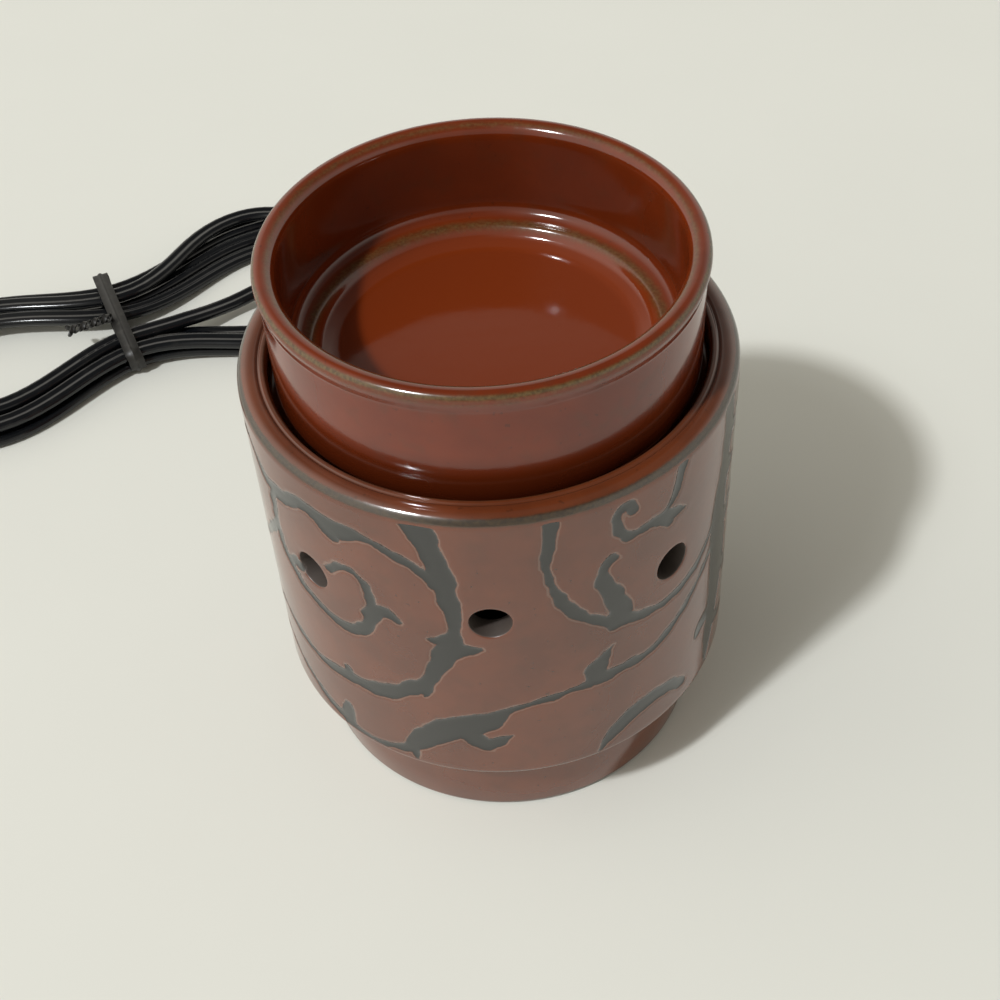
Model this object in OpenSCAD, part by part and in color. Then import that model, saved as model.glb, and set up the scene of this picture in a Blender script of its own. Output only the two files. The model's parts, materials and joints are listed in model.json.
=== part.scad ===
// Electric wax warmer: a glazed stoneware body with a lift-out melting dish, heated by a small bulb,
// with an in-line switch and its cord tied in a hank. Millimetres, +Z up, table at z = 0.

/* [Body] */
// Outer diameter of the body
body_d = 114; // [94:1:140]
// Height of the body's rim above the table
body_top = 114.8; // [95:0.1:140]
// Height of the body's lower edge above the table
edge_z = 24.5; // [20:0.5:30]
// Width of the body's rim, from its outside to its mouth
rim_w = 6.5; // [5:0.5:9]
// Thickness of the body's wall below the seat
wall = 5.5; // [4:0.5:7]
// Thickness of the body's floor
floor_t = 5.5; // [4:0.5:7]
// How far the foot is set in from the body
foot_inset = 7.6; // [5:0.1:10]
// Thickness of the foot's wall
foot_wall = 5; // [4:0.5:6]
// Rounding of the rim's outer edge
rim_round = 2; // [1:0.5:3]
// Rounding of the body's lower edge
edge_round = 2.2; // [1:0.1:3]

/* [Vents] */
// Number of vent holes round the body
vent_n = 8; // [4:1:12]
// Diameter of a vent hole
vent_d = 9.5; // [6:0.5:12]
// Distance of the vent holes' centres below the rim
vent_drop = 32.5; // [28:0.5:45]
// Turn of the first vent hole from the front, towards the left
vent_turn = 3.4; // [0:0.1:40]

/* [Dish] */
// Height of the dish, from its seat to its rim
dish_h = 34.5; // [26:0.5:45]
// Gap between the dish and the body's mouth
dish_gap = 2.8; // [1:0.1:5]
// How much wider the dish is at its rim than at the mouth
dish_flare = 2.3; // [0:0.1:4]
// Thickness of the dish's wall at its rim
dish_wall = 5; // [3.5:0.5:7]
// Thickness of the dish's floor above its seat
dish_floor = 6.5; // [4:0.5:9]
// Height of the step round the dish's floor
dish_step = 3.6; // [2:0.2:5]
// How far the side of that step leans inwards
dish_slope = 4.6; // [1:0.2:7]
// Width of the ledge above that step
dish_ledge = 5.5; // [3:0.5:8]
// Depth of the dish's seat below the body's rim
seat_depth = 7.8; // [5:0.1:12]
// Width of the seat inside the body's mouth
seat_w = 7.5; // [5:0.5:10]
// Thickness of the seat
seat_t = 6; // [4:0.5:9]

/* [Base] */
// Height of the rubber pads
pad_h = 3; // [2:0.5:5]
// Diameter of a rubber pad
pad_d = 12; // [8:1:16]
// Number of rubber pads
pad_n = 4; // [3:1:6]
// How far the foot ring stands clear of the table
foot_clear = 0.5; // [0.2:0.1:1]
// Thickness of the base plate
plate_t = 2; // [1.5:0.5:4]
// Diameter of the base screw
screw_d = 4; // [3:0.5:5]

/* [Lamp] */
// Outer diameter of the lamp holder
holder_d = 25; // [22:0.5:30]
// Height of the lamp holder above the body's floor
holder_up = 14; // [10:0.5:20]
// Height of the lamp holder's foot above the base plate
holder_clear = 7; // [4.5:0.5:8]
// Diameter of the lamp's screw cap
cap_d = 11.7; // [11:0.1:14]
// Pitch of the lamp's screw thread
cap_pitch = 2.54; // [2:0.01:3]
// Length of the lamp's screw cap
cap_h = 13; // [11:0.5:16]
// Diameter of the lamp's glass
glass_d = 32; // [24:1:38]
// Length of the lamp's glass
glass_h = 41; // [34:1:46]
// Thickness of the lamp's glass
glass_t = 0.8; // [0.6:0.1:1.2]

/* [Cord] */
// Width of the flat twin cord
cord_w = 6.4; // [5.5:0.1:7]
// Thickness of the flat twin cord
cord_t = 3.2; // [2.6:0.1:3.4]
// Length of the strain relief outside the foot
relief_len = 25.6; // [20:0.1:40]
// Height of the cord's exit above the table
exit_z = 11; // [11:0.5:14]
// Diameter of the insulated wires inside
wire_d = 2.6; // [2:0.1:3]
// Loops in the hank
hank_turns = 3.75; // [2.75:1:5.75]
// Half length of the hank's straight runs
hank_half = 52; // [45:1:65]
// Least half width of the hank's end loops
fold_r = 21; // [19.5:0.5:30]
// How far the loops are drawn in at the waist
waist_in = 15.5; // [10:0.5:18]
// Step from one loop of the hank to the next
loop_step = 8.4; // [8.2:0.1:10]

/* [Switch] */
// Length of the in-line switch
switch_l = 62; // [56:1:76]
// Width of the in-line switch
switch_w = 24; // [22:1:30]
// Height of the in-line switch
switch_h = 16; // [15:0.5:20]
// Wall of the in-line switch
switch_wall = 2; // [1.5:0.5:3]
// Length of the rocker
rocker_l = 19; // [14:0.5:22]
// Width of the rocker
rocker_w = 11; // [8:0.5:13]
// Tilt of the rocker to each side
rocker_tilt = 10; // [6:1:12]

/* [Plug] */
// Distance between the plug's blades
blade_gap = 12.7; // [12:0.1:14]
// Length of a blade
blade_l = 17; // [15:0.5:19]
// Width of a blade
blade_w = 6.3; // [6:0.1:7]
// Thickness of a blade
blade_t = 1.5; // [1.2:0.1:2]

/* [Hidden] */
$fn = 96;
// Clearance between pieces that move past each other
run_gap = 0.3;
// Clearance of a pin in its bore
pin_gap = 0.05;
// Clearance of a fixed piece in its seat
fit_gap = 0.2;
// Steps in a quarter turn of a rounded outline
arc_steps = 5;

// Radii and heights of the body
body_r = body_d / 2;
foot_r = body_r - foot_inset;
mouth_r = body_r - rim_w;
chamber_r = body_r - wall;
seat_r = mouth_r - seat_w;
seat_z = body_top - seat_depth;
floor_z = edge_z + floor_t;
recess_r = foot_r - foot_wall;
rebate_r = recess_r + 1.6;
plate_z = pad_h + plate_t;
lip_round = 1.2;
foot_round = 1;
chamber_round = 4;

// Dish
dish_mouth_r = mouth_r - dish_gap;
dish_rim_r = dish_mouth_r + dish_flare;
dish_in_r = dish_rim_r - dish_wall;
dish_top = seat_z + dish_h;
dish_floor_z = seat_z + dish_floor;
dish_ledge_z = dish_floor_z + dish_step;
dish_low_r = seat_r + seat_w / 3;
dish_foot_w = 5;
dish_rim_round = 2.2;
dish_lip_round = 1.6;
dish_fillet = 3;
dish_hollow = 1.5;
// How much narrower the inside of the dish is at its ledge than at its rim
dish_taper = 0.6;
// Rounding of the step's upper edge and of the hollow at its foot
step_round = 0.8;
floor_round = 3;
step_angle = atan(dish_step / dish_slope);
// Bevel between the dish's foot and its wall, inwards and upwards
heel_in = 0.6;
heel_up = 2.4;

// Base plate's screw and pads
washer_t = 0.6;
washer_r = screw_d * 1.15;
screw_head = 1.8;
// Depth of a screw in the lamp holder, and how much deeper its hole is
screw_bite = 6;
bite_gap = 1;
// Slot in a screw's head
slot_w = 0.8;
slot_deep = 0.8;
pad_in = 4;

// Lamp holder and what it holds
holder_r = holder_d / 2;
holder_z = plate_z + holder_clear;
holder_top = floor_z + holder_up;
flange_r = holder_r + 6.5;
flange_t = 2.5;
gasket_t = 1;
ring_h = 6;
// Notches in the ring nut
notch_n = 12;
notch_r = 1.4;
notch_z = 1.5;
cap_r = cap_d / 2;
// Wall at the foot of the lamp's cap, and the bevel round it
cap_floor = 1.5;
cap_bevel = 1.2;
shell_t = 0.45;
shell_in = cap_r + 0.4;
shell_out = shell_in + shell_t;
shell_z = holder_top - cap_h - 3.5;
shell_lip = 0.5;
socket_z = shell_z - 2;
contact_t = 0.6;
contact_r = 1.6;
cap_top = holder_top - 0.8;
cap_z = cap_top - cap_h;
tip_h = 0.9;
tip_r = 2.4;
insulator_h = 1.2;
insulator_r = 3;
tip_z = cap_z - run_gap - insulator_h - tip_h;
glass_r = glass_d / 2;
neck_r = cap_r - 0.3;
neck_h = 4;
glass_steps = 8;
stem_r = 2;
stem_flare = 6;
stem_top = cap_top + 15;
lead_r = 0.4;
lead_foot = 1.2;
lead_top = stem_top + 12;
lead_spread = glass_r * 0.42;
terminal_x = holder_r - 5.5;
terminal_r = 1.5;
head_r = 3;
head_h = 1.8;
tag_t = 0.8;
tag_r = head_r + 1.2;
tag_z = holder_z - tag_t;
barrel_r = 1.8;
barrel_z = tag_z - 1.3;
barrel_y = head_r + run_gap;
barrel_end = head_r + 6;
// Straight length of an inner wire at each end
wire_end = 5;

// Strain relief and the foot of the cord, where cord_at is the place on the table under the exit
relief_r = 5.5;
relief_tip = 4;
relief_neck = 4;
relief_flange = relief_neck + 1.2;
flange_y = recess_r - 3;
groove_n = 5;
groove_w = 1.2;
groove_in = relief_tip - 0.4;
// Plain lengths of the strain relief before its first groove and after its last
relief_root = 5;
relief_lip = 3;
exit_y = foot_r + relief_len;
cord_at = [0, exit_y, 0];
lay_z = cord_t / 2 + 0.2;
inner_end = 5;

// Route of the cord from the exit to the switch, from the place under the exit
switch_mid = switch_h / 2;
lead_route = [[0, 0, exit_z], [0, 8, exit_z - 0.8], [2, 17, 7.4], [7, 25.5, 4], [13.5, 33, 2],
              [20.5, 40, 2.2], [26, 48, 4.6], [28, 56, switch_mid - 0.8], [28, 62, switch_mid]];
// Middle of the switch's near end and of its far end
switch_near = [28, 62, 0];
switch_far = switch_near + [0, switch_l, 0];
// Route of the cord from the switch to the hank, from the far end of the switch
run_route = [for (p = [[0, 0, switch_mid], [0, 8, switch_mid - 0.8], [-1.5, 17.5, 4.6], [-6, 26, 2.4],
                       [-13, 32.5, lay_z], [-22, 36.5, lay_z], [-32, 37.8, lay_z], [-41, 35.8, lay_z],
                       [-55, 30.4, lay_z], [-69, 25, lay_z], [-83, 19.6, lay_z], [-97, 14.2, lay_z]])
             switch_far + p];
// Start of the hank, from the far end of the switch, and the hank's turn from the X axis
hank_from = [-109.4, 10.2, 0];
hank_turn = 21;
// Free length of the cord between the hank and the plug
tail_len = 15;
hank_rings = 24;
layer_step = cord_t + 0.8;
// Share of a run over which the cord climbs a layer
climb_share = 0.6;
tie_lift = 1.2;
tie_t = 0.8;
tie_gap = 1;
tie_w = 6;
tie_round = 3;
hank_back = floor(hank_turns / 2) + 1.125;

// Switch
switch_round = 6;
pivot_z = switch_h - 3.2;
pin_r = 1.2;
boss_x = switch_l / 2 - 9;
boss_y = switch_w / 2 - 4.6;
boss_r = 2.8;
thread_r = 1.3;
screw_head_r = 2.4;
screw_head_h = 1.6;
contact_x = rocker_l / 2 - 3;
contact_foot = 6;
bridge_t = 0.6;
bridge_drop = 3.5;
// Heights of the rocker above its pin: at its ends, at its middle and at the foot of its ends
rocker_end = 3.6;
rocker_dip = 2.2;
rocker_edge = 1.6;
window_gap = 1;

// Plug
plug_l = 34;
plug_w = blade_gap + 10;
plug_t = blade_w + 6.5;
plug_z = plug_t / 2 + 0.3;
plug_sides = 32;
blade_round = 1.5;
blade_hole = 3;
blade_hole_in = 5;
// Sections of the plug from its cord to its face: place, width and thickness
plug_sections = [[-plug_l, 8.4, 6], [-plug_l * 0.72, 9.4, 7], [-plug_l * 0.58, 11.5, 8.6],
                 [-plug_l * 0.48, plug_w * 0.78, plug_t * 0.86],
                 [-plug_l * 0.4, plug_w * 0.94, plug_t * 0.96], [-plug_l * 0.3, plug_w, plug_t],
                 [-1.2, plug_w, plug_t], [0, plug_w - 2, plug_t - 2]];

// Colours
glaze_brown = [0.42, 0.27, 0.22];
glaze_red = [0.40, 0.13, 0.06];
brass = [0.75, 0.6, 0.3];
steel = [0.7, 0.7, 0.72];
black = [0.08, 0.08, 0.09];

// Points of an arc round [x, y], from angle a to angle b
function arc(x, y, r, a, b) =
    [for (i = [0:arc_steps]) let (t = a + (b - a) * i / arc_steps) [x + r * cos(t), y + r * sin(t)]];

// Smooth step from 0 to 1
function ease(t) = let (c = min(1, max(0, t))) c * c * (3 - 2 * c);

// Unit vector along v, flattened to the table
function flat_unit(v) = [v[0], v[1], 0] / norm([v[0], v[1]]);

// Direction of a route at its point i
function heading(route, i) =
    flat_unit(route[min(i + 1, len(route) - 1)] - route[max(i - 1, 0)]);

// Rings of a flat tube along a route, w wide and t thick, with n sides
function flat_rings(route, w, t, n) =
    [for (i = [0:len(route) - 1])
        let (h = heading(route, i), side = [-h[1], h[0], 0])
        for (k = [0:n - 1])
            let (a = 360 * (k + 0.5) / n, grow = 1 / cos(180 / n), lift = n % 4 == 0 ? grow : 1)
            route[i] + side * (w / 2 * grow * cos(a)) + [0, 0, t / 2 * lift * sin(a)]];

// Triangles of a tube of m rings with n sides, closed at both ends
function tube_faces(m, n) = concat(
    [for (i = [0:m - 2]) for (k = [0:n - 1]) [i * n + k, i * n + (k + 1) % n, (i + 1) * n + k]],
    [for (i = [0:m - 2]) for (k = [0:n - 1])
        [i * n + (k + 1) % n, (i + 1) * n + (k + 1) % n, (i + 1) * n + k]],
    [for (k = [1:n - 2]) [0, k + 1, k]],
    [for (k = [1:n - 2]) [(m - 1) * n, (m - 1) * n + k, (m - 1) * n + k + 1]]);

module flat_tube(route, w, t, n) {
    points = flat_rings(route, w, t, n);
    polyhedron(points, [for (f = tube_faces(len(route), n)) [f[0], f[2], f[1]]]);
}

// Half width of the hank's loops at the waist, after u loops from its start
function loop_w(u) = fold_r - waist_in + loop_step * abs(hank_back - u);

// Centre of the cord after u loops: a run, an end loop, the other run, the other end loop
function hank_local(u) =
    let (f = (u - floor(u)) * 4, q = floor(f), g = f - q, w = loop_w(u), r = w + waist_in,
         s = hank_half * (1 - 2 * g), run = w + waist_in * (1 - cos(180 * s / hank_half)) / 2)
    q == 0 ? [s, run] :
    q == 1 ? [-hank_half - r * sin(180 * g), r * cos(180 * g)] :
    q == 2 ? [-s, -run] : [hank_half + r * sin(180 * g), -r * cos(180 * g)];

function hank_z(u, s) =
    lay_z + layer_step * ease((u - hank_back) * 4 / climb_share + 0.5)
    + tie_lift * (1 + cos(180 * min(1, abs(s) / hank_half))) / 2;

// A step in the hank's own frame, s along it and t across it, as a step in the cord's frame
function along_hank(s, t) =
    [s * cos(hank_turn) - t * sin(hank_turn), s * sin(hank_turn) + t * cos(hank_turn), 0];

// Middle of the hank, and a place in the hank's own frame as a place in the cord's frame
hank_at = switch_far + hank_from - along_hank(hank_half + cord_w, loop_w(0) + waist_in);
function from_hank(s, t, z) = hank_at + along_hank(s, t) + [0, 0, z];

function hank_point(u) = let (p = hank_local(u)) from_hank(p[0], p[1], hank_z(u, p[0]));

// Ends of the hank, each straight for one cord width
hank_first = from_hank(hank_half + cord_w, loop_w(0) + waist_in, lay_z);
hank_last = from_hank(hank_half + cord_w, -loop_w(hank_turns) - waist_in, hank_z(hank_turns, hank_half));
hank_route = concat([hank_first], [for (i = [0:hank_rings * hank_turns]) hank_point(i / hank_rings)],
                    [hank_last]);
// The run comes to the hank straight for a cord width
run_last = from_hank(hank_half + 2 * cord_w, loop_w(0) + waist_in, lay_z);
plug_back = from_hank(hank_half + cord_w + tail_len, -loop_w(hank_turns) - waist_in, plug_z);
tail_route = [hank_last, (2 * hank_last + plug_back) / 3, (hank_last + 2 * plug_back) / 3, plug_back];

// Least gap between parts of the hank that aren't next to each other along it
gap_steps = 120;
function hank_gap() =
    let (p = [for (i = [0:gap_steps * hank_turns]) hank_point(i / gap_steps)])
    min([for (i = [0:len(p) - 1]) for (j = [i + gap_steps / 4:1:len(p) - 1])
        let (d = p[j] - p[i]) max(norm([d[0], d[1]]) - cord_w, abs(d[2]) - cord_t)]);

// Length of a route
function route_length(r) =
    [for (i = [1:len(r) - 1]) norm(r[i] - r[i - 1])] * [for (i = [1:len(r) - 1]) 1];

module ring(outer, inner, h) {
    difference() {
        cylinder(r = outer, h = h);
        translate([0, 0, -1]) cylinder(r = inner, h = h + 2);
    }
}

// A slab with round corners, standing on z = 0
module slab(l, w, r, h) {
    linear_extrude(height = h) {
        square([l - 2 * r, w], center = true);
        square([l, w - 2 * r], center = true);
        for (x = [-1, 1], y = [-1, 1])
            translate([x * (l / 2 - r), y * (w / 2 - r)]) circle(r = r);
    }
}

// Glazed body, turned as one profile, with its vents and the cord's hole
module warmer_body() {
    profile = concat(
        [[rebate_r, foot_clear]],
        arc(foot_r - foot_round, foot_clear + foot_round, foot_round, -90, 0),
        [[foot_r, edge_z]],
        arc(body_r - edge_round, edge_z + edge_round, edge_round, -90, 0),
        arc(body_r - rim_round, body_top - rim_round, rim_round, 0, 90),
        arc(mouth_r + lip_round, body_top - lip_round, lip_round, 90, 180),
        [[mouth_r, seat_z], [seat_r, seat_z], [seat_r, seat_z - seat_t],
         [chamber_r, seat_z - seat_t - (chamber_r - seat_r) / 2]],
        arc(chamber_r - chamber_round, floor_z + chamber_round, chamber_round, 0, -90),
        [[holder_r + 2 * fit_gap, floor_z], [holder_r + 2 * fit_gap, edge_z], [recess_r, edge_z],
         [recess_r, plate_z], [rebate_r, plate_z]]);
    color(glaze_brown) difference() {
        rotate_extrude() polygon(profile);
        for (i = [0:vent_n - 1])
            rotate([0, 0, -90 - vent_turn + 360 * i / vent_n])
                translate([chamber_r - wall, 0, body_top - vent_drop])
                    rotate([0, 90, 0]) cylinder(d = vent_d, h = 3 * wall);
        translate([0, recess_r - foot_wall, exit_z])
            rotate([-90, 0, 0]) cylinder(r = relief_neck + fit_gap, h = 3 * foot_wall);
    }
}

// Melting dish: a low foot, a wall that opens a little, and a step round its floor
module wax_dish() {
    step_r = dish_in_r - dish_ledge;
    edge_r = step_r + step_round * tan(step_angle / 2);
    flat_r = step_r - dish_slope - floor_round * tan(step_angle / 2);
    profile = concat(
        [[0, seat_z + dish_hollow], [dish_low_r - dish_foot_w - 1, seat_z + dish_hollow],
         [dish_low_r - dish_foot_w, seat_z], [dish_low_r, seat_z],
         [dish_mouth_r - heel_in, seat_z + heel_up], [dish_mouth_r, body_top]],
        arc(dish_rim_r - dish_rim_round, dish_top - dish_rim_round, dish_rim_round, 0, 90),
        arc(dish_in_r + dish_lip_round, dish_top - dish_lip_round, dish_lip_round, 90, 180),
        arc(dish_in_r - dish_taper - dish_fillet, dish_ledge_z + dish_fillet, dish_fillet, 0, -90),
        arc(edge_r, dish_ledge_z - step_round, step_round, 90, 90 + step_angle),
        arc(flat_r, dish_floor_z + floor_round, floor_round, step_angle - 90, -90),
        [[0, dish_floor_z]]);
    color(glaze_red) rotate_extrude() polygon(profile);
}

// Plate that closes the foot, up against its rebate
module base_plate() {
    color(black) translate([0, 0, pad_h])
        ring(rebate_r - run_gap, screw_d / 2 + run_gap, plate_t);
}

module foot_pads() {
    color([0.2, 0.2, 0.2]) for (i = [0:pad_n - 1])
        rotate([0, 0, 360 * (i + 0.5) / pad_n])
            translate([recess_r - pad_d / 2 - pad_in, 0, 0]) cylinder(d = pad_d, h = pad_h);
}

module base_washer() {
    color(steel) translate([0, 0, pad_h - washer_t]) ring(washer_r, screw_d / 2 + fit_gap, washer_t);
}

// Screw with a slotted head, its shank upwards from z = 0
module slotted_screw(r, l, head_r, head) {
    difference() {
        union() {
            translate([0, 0, -head]) cylinder(r = head_r, h = head);
            cylinder(r = r, h = l);
        }
        translate([-head_r - 1, -slot_w / 2, -head - 1]) cube([2 * head_r + 2, slot_w, slot_deep + 1]);
    }
}

// Screw that draws the plate up to the lamp holder
module base_screw() {
    head_z = pad_h - washer_t;
    color(steel) translate([0, 0, head_z])
        slotted_screw(screw_d / 2, holder_z + screw_bite - head_z, screw_d, screw_head);
}

// Lamp holder: its flange is under the floor and its bore takes the screw shell
module lamp_holder() {
    flange_z = edge_z - gasket_t - flange_t;
    color([0.12, 0.11, 0.1]) difference() {
        union() {
            translate([0, 0, holder_z]) cylinder(r = holder_r, h = holder_top - holder_z);
            translate([0, 0, flange_z]) cylinder(r = flange_r, h = flange_t);
        }
        translate([0, 0, socket_z]) cylinder(r = shell_out + fit_gap, h = holder_top);
        translate([0, 0, holder_z - 1])
            cylinder(d = screw_d + 2 * pin_gap, h = screw_bite + bite_gap + 1);
        for (x = [-1, 1]) translate([x * terminal_x, 0, holder_z - 1])
            cylinder(r = terminal_r + pin_gap, h = screw_bite + bite_gap + 1);
    }
}

module holder_gasket() {
    color([0.8, 0.78, 0.72]) translate([0, 0, edge_z - gasket_t])
        ring(flange_r, holder_r + fit_gap, gasket_t);
}

// Ring nut above the floor, with notches to turn it by
module holder_ring() {
    color([0.12, 0.11, 0.1]) translate([0, 0, floor_z]) difference() {
        ring(flange_r, holder_r + fit_gap, ring_h);
        for (i = [0:notch_n - 1])
            rotate([0, 0, 360 * i / notch_n]) translate([flange_r, 0, notch_z])
                cylinder(r = notch_r, h = ring_h);
    }
}

module screw_shell() {
    color(brass) translate([0, 0, shell_z]) ring(shell_out, shell_in, holder_top - shell_lip - shell_z);
}

// Sprung contact at the bottom of the socket, just under the lamp's tip
module centre_contact() {
    color(brass) {
        translate([0, 0, socket_z]) cylinder(r = shell_in - 1, h = contact_t);
        translate([0, 0, socket_z]) cylinder(r = contact_r, h = tip_z - run_gap - socket_z);
    }
}

module terminal_screws() {
    color(steel) for (x = [-1, 1]) translate([x * terminal_x, 0, tag_z])
        slotted_screw(terminal_r, tag_t + screw_bite, head_r, head_h);
}

// Ring tags under the screws' heads, each with a barrel for its wire
module ring_terminals() {
    color(brass) for (x = [-1, 1]) translate([x * terminal_x, 0, 0]) {
        translate([0, 0, tag_z]) ring(tag_r, terminal_r + fit_gap, tag_t);
        translate([0, barrel_y, barrel_z]) rotate([-90, 0, 0])
            cylinder(r = barrel_r, h = barrel_end - barrel_y);
    }
}

// One insulated wire, from the end of the cord inside the foot to its terminal
module wire(side) {
    start_y = flange_y - inner_end;
    flat_tube([[side * cord_w / 4, start_y, exit_z], [side * cord_w / 4, start_y - wire_end, exit_z],
               [side * (terminal_x + 2), (start_y + barrel_end) / 2, (exit_z + barrel_z) / 2],
               [side * terminal_x, barrel_end + wire_end, barrel_z],
               [side * terminal_x, barrel_end, barrel_z]], wire_d, wire_d, 8);
}

module live_wire() { color([0.1, 0.1, 0.1]) wire(-1); }

module neutral_wire() { color([0.85, 0.85, 0.85]) wire(1); }

// End of the flat cord inside the foot
module inner_cord() {
    color(black) flat_tube([[0, flange_y, exit_z], [0, flange_y - inner_end, exit_z]], cord_w, cord_t, 8);
}

// Lamp's screw cap, with the ridges of its thread
module bulb_cap() {
    turns = floor((cap_h - 3) / cap_pitch);
    ridge = 0.3;
    profile = concat(
        [[0, cap_z], [cap_r - cap_bevel, cap_z], [cap_r - ridge, cap_z + 1]],
        [for (i = [0:turns - 1]) each [[cap_r - ridge, cap_z + 1 + (i + 0.2) * cap_pitch],
                                       [cap_r, cap_z + 1 + (i + 0.4) * cap_pitch],
                                       [cap_r, cap_z + 1 + (i + 0.6) * cap_pitch],
                                       [cap_r - ridge, cap_z + 1 + (i + 0.8) * cap_pitch]]],
        [[cap_r - ridge, cap_top], [neck_r - glass_t - 0.5, cap_top],
         [neck_r - glass_t - 0.5, cap_z + cap_floor], [0, cap_z + cap_floor]]);
    color(brass) rotate_extrude() polygon(profile);
}

module bulb_insulator() {
    color([0.1, 0.1, 0.15]) translate([0, 0, tip_z + tip_h])
        cylinder(r1 = insulator_r, r2 = cap_r - cap_bevel - fit_gap, h = insulator_h);
}

module bulb_tip() {
    color(steel) translate([0, 0, tip_z]) cylinder(r1 = contact_r, r2 = tip_r, h = tip_h);
}

// Outline of the lamp's glass, set in by d
function glass_outline(d) =
    let (round_z = cap_top + glass_h - glass_r, swell = round_z - cap_top - neck_h)
    concat([[neck_r - d, cap_top]],
           [for (i = [0:glass_steps]) let (t = i / glass_steps)
               [neck_r - d + (glass_r - neck_r) * (1 - cos(180 * t)) / 2, cap_top + neck_h + swell * t]],
           [for (i = [1:glass_steps]) let (a = 90 * i / glass_steps)
               [(glass_r - d) * cos(a), round_z + (glass_r - d) * sin(a)]]);

module bulb_glass() {
    outer = glass_outline(0);
    inner = glass_outline(glass_t);
    color([0.9, 0.9, 0.9, 0.4]) rotate_extrude()
        polygon(concat(outer, [for (i = [len(inner) - 1:-1:0]) inner[i]]));
}

// Glass mount inside the lamp
module bulb_stem() {
    mount_r = neck_r - glass_t - run_gap;
    color([0.9, 0.9, 0.9, 0.5]) rotate_extrude()
        polygon([[0, cap_top + fit_gap], [mount_r, cap_top + fit_gap], [mount_r, cap_top + 1],
                 [stem_r + 0.4, cap_top + stem_flare], [stem_r, stem_top], [0, stem_top]]);
}

module bulb_leads() {
    lean = atan2(lead_spread - lead_foot, lead_top - stem_top);
    reach = norm([lead_spread - lead_foot, lead_top - stem_top]);
    color(steel) for (x = [-1, 1])
        translate([x * lead_foot, 0, stem_top + fit_gap]) rotate([0, x * lean, 0])
            cylinder(r = lead_r, h = reach, $fn = 24);
}

// Filament, a fine wire in a shallow wave from one lead's tip to the other
module filament() {
    waves = 4;
    wave = 0.6;
    rise = 1.6;
    thick = 0.5;
    steps = 32;
    color([0.5, 0.5, 0.5]) flat_tube(
        [for (i = [0:steps]) let (t = 2 * i / steps - 1)
            [lead_spread * t, wave * sin(180 * waves * t), lead_top + 1 + rise * (1 - t * t)]],
        thick, thick, 6);
}

// Tapered sleeve where the cord leaves the foot, with grooves that let it bend
module strain_relief() {
    pitch = (relief_len - relief_root - relief_lip) / groove_n;
    neck_y = recess_r - 1;
    start_y = foot_r + 0.1;
    color(black) translate([0, 0, exit_z]) rotate([-90, 0, 0]) difference() {
        union() {
            translate([0, 0, flange_y]) cylinder(r = relief_flange, h = neck_y - flange_y);
            translate([0, 0, neck_y]) cylinder(r = relief_neck, h = start_y - neck_y);
            translate([0, 0, start_y]) cylinder(r1 = relief_r, r2 = relief_tip, h = exit_y - start_y);
        }
        for (i = [0:groove_n - 1])
            translate([0, 0, foot_r + relief_root + i * pitch]) ring(relief_r + 1, groove_in, groove_w);
    }
}

module cord_lead() { color(black) translate(cord_at) flat_tube(lead_route, cord_w, cord_t, 8); }

module cord_run() {
    color(black) translate(cord_at)
        flat_tube(concat(run_route, [run_last, hank_first]), cord_w, cord_t, 8);
}

module cord_hank() {
    echo(hank_least_gap = hank_gap(), hank_length = route_length(hank_route));
    color(black) translate(cord_at) flat_tube(hank_route, cord_w, cord_t, 6);
}

module cord_tail() { color(black) translate(cord_at) flat_tube(tail_route, cord_w, cord_t, 8); }

// Band round the hank's waist
module cord_tie() {
    far = loop_w(0.125) + cord_w / 2 + tie_gap;
    near = loop_w(0.625) + cord_w / 2 + tie_gap;
    low = lay_z + tie_lift - cord_t / 2 - run_gap;
    high = lay_z + tie_lift + layer_step + cord_t / 2 + run_gap;
    color([0.1, 0.09, 0.08]) translate(cord_at + from_hank(0, (far - near) / 2, (low + high) / 2))
        rotate([0, 0, hank_turn]) rotate([90, 0, 90]) translate([0, 0, -tie_w / 2]) difference() {
            slab(far + near + 2 * tie_t, high - low + 2 * tie_t, tie_round, tie_w);
            translate([0, 0, -1]) slab(far + near, high - low, tie_round - tie_t, tie_w + 2);
        }
}

// Moves a piece to the switch's place on the table
module at_switch() {
    translate(cord_at + (switch_near + switch_far) / 2) rotate([0, 0, 90]) children();
}

// Lower half of the switch, with two posts for its screws
module switch_base() {
    color(black) at_switch() difference() {
        union() {
            difference() {
                slab(switch_l, switch_w, switch_round, switch_mid);
                translate([0, 0, switch_wall])
                    slab(switch_l - 2 * switch_wall, switch_w - 2 * switch_wall, switch_round - switch_wall,
                         switch_h);
            }
            for (s = [-1, 1])
                translate([s * boss_x, s * boss_y, 0]) cylinder(r = boss_r, h = switch_mid);
        }
        for (s = [-1, 1]) translate([s * boss_x, s * boss_y, -1]) {
            cylinder(r = thread_r + fit_gap, h = switch_h);
            cylinder(r = screw_head_r + fit_gap, h = screw_head_h + fit_gap + 1);
        }
    }
}

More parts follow.
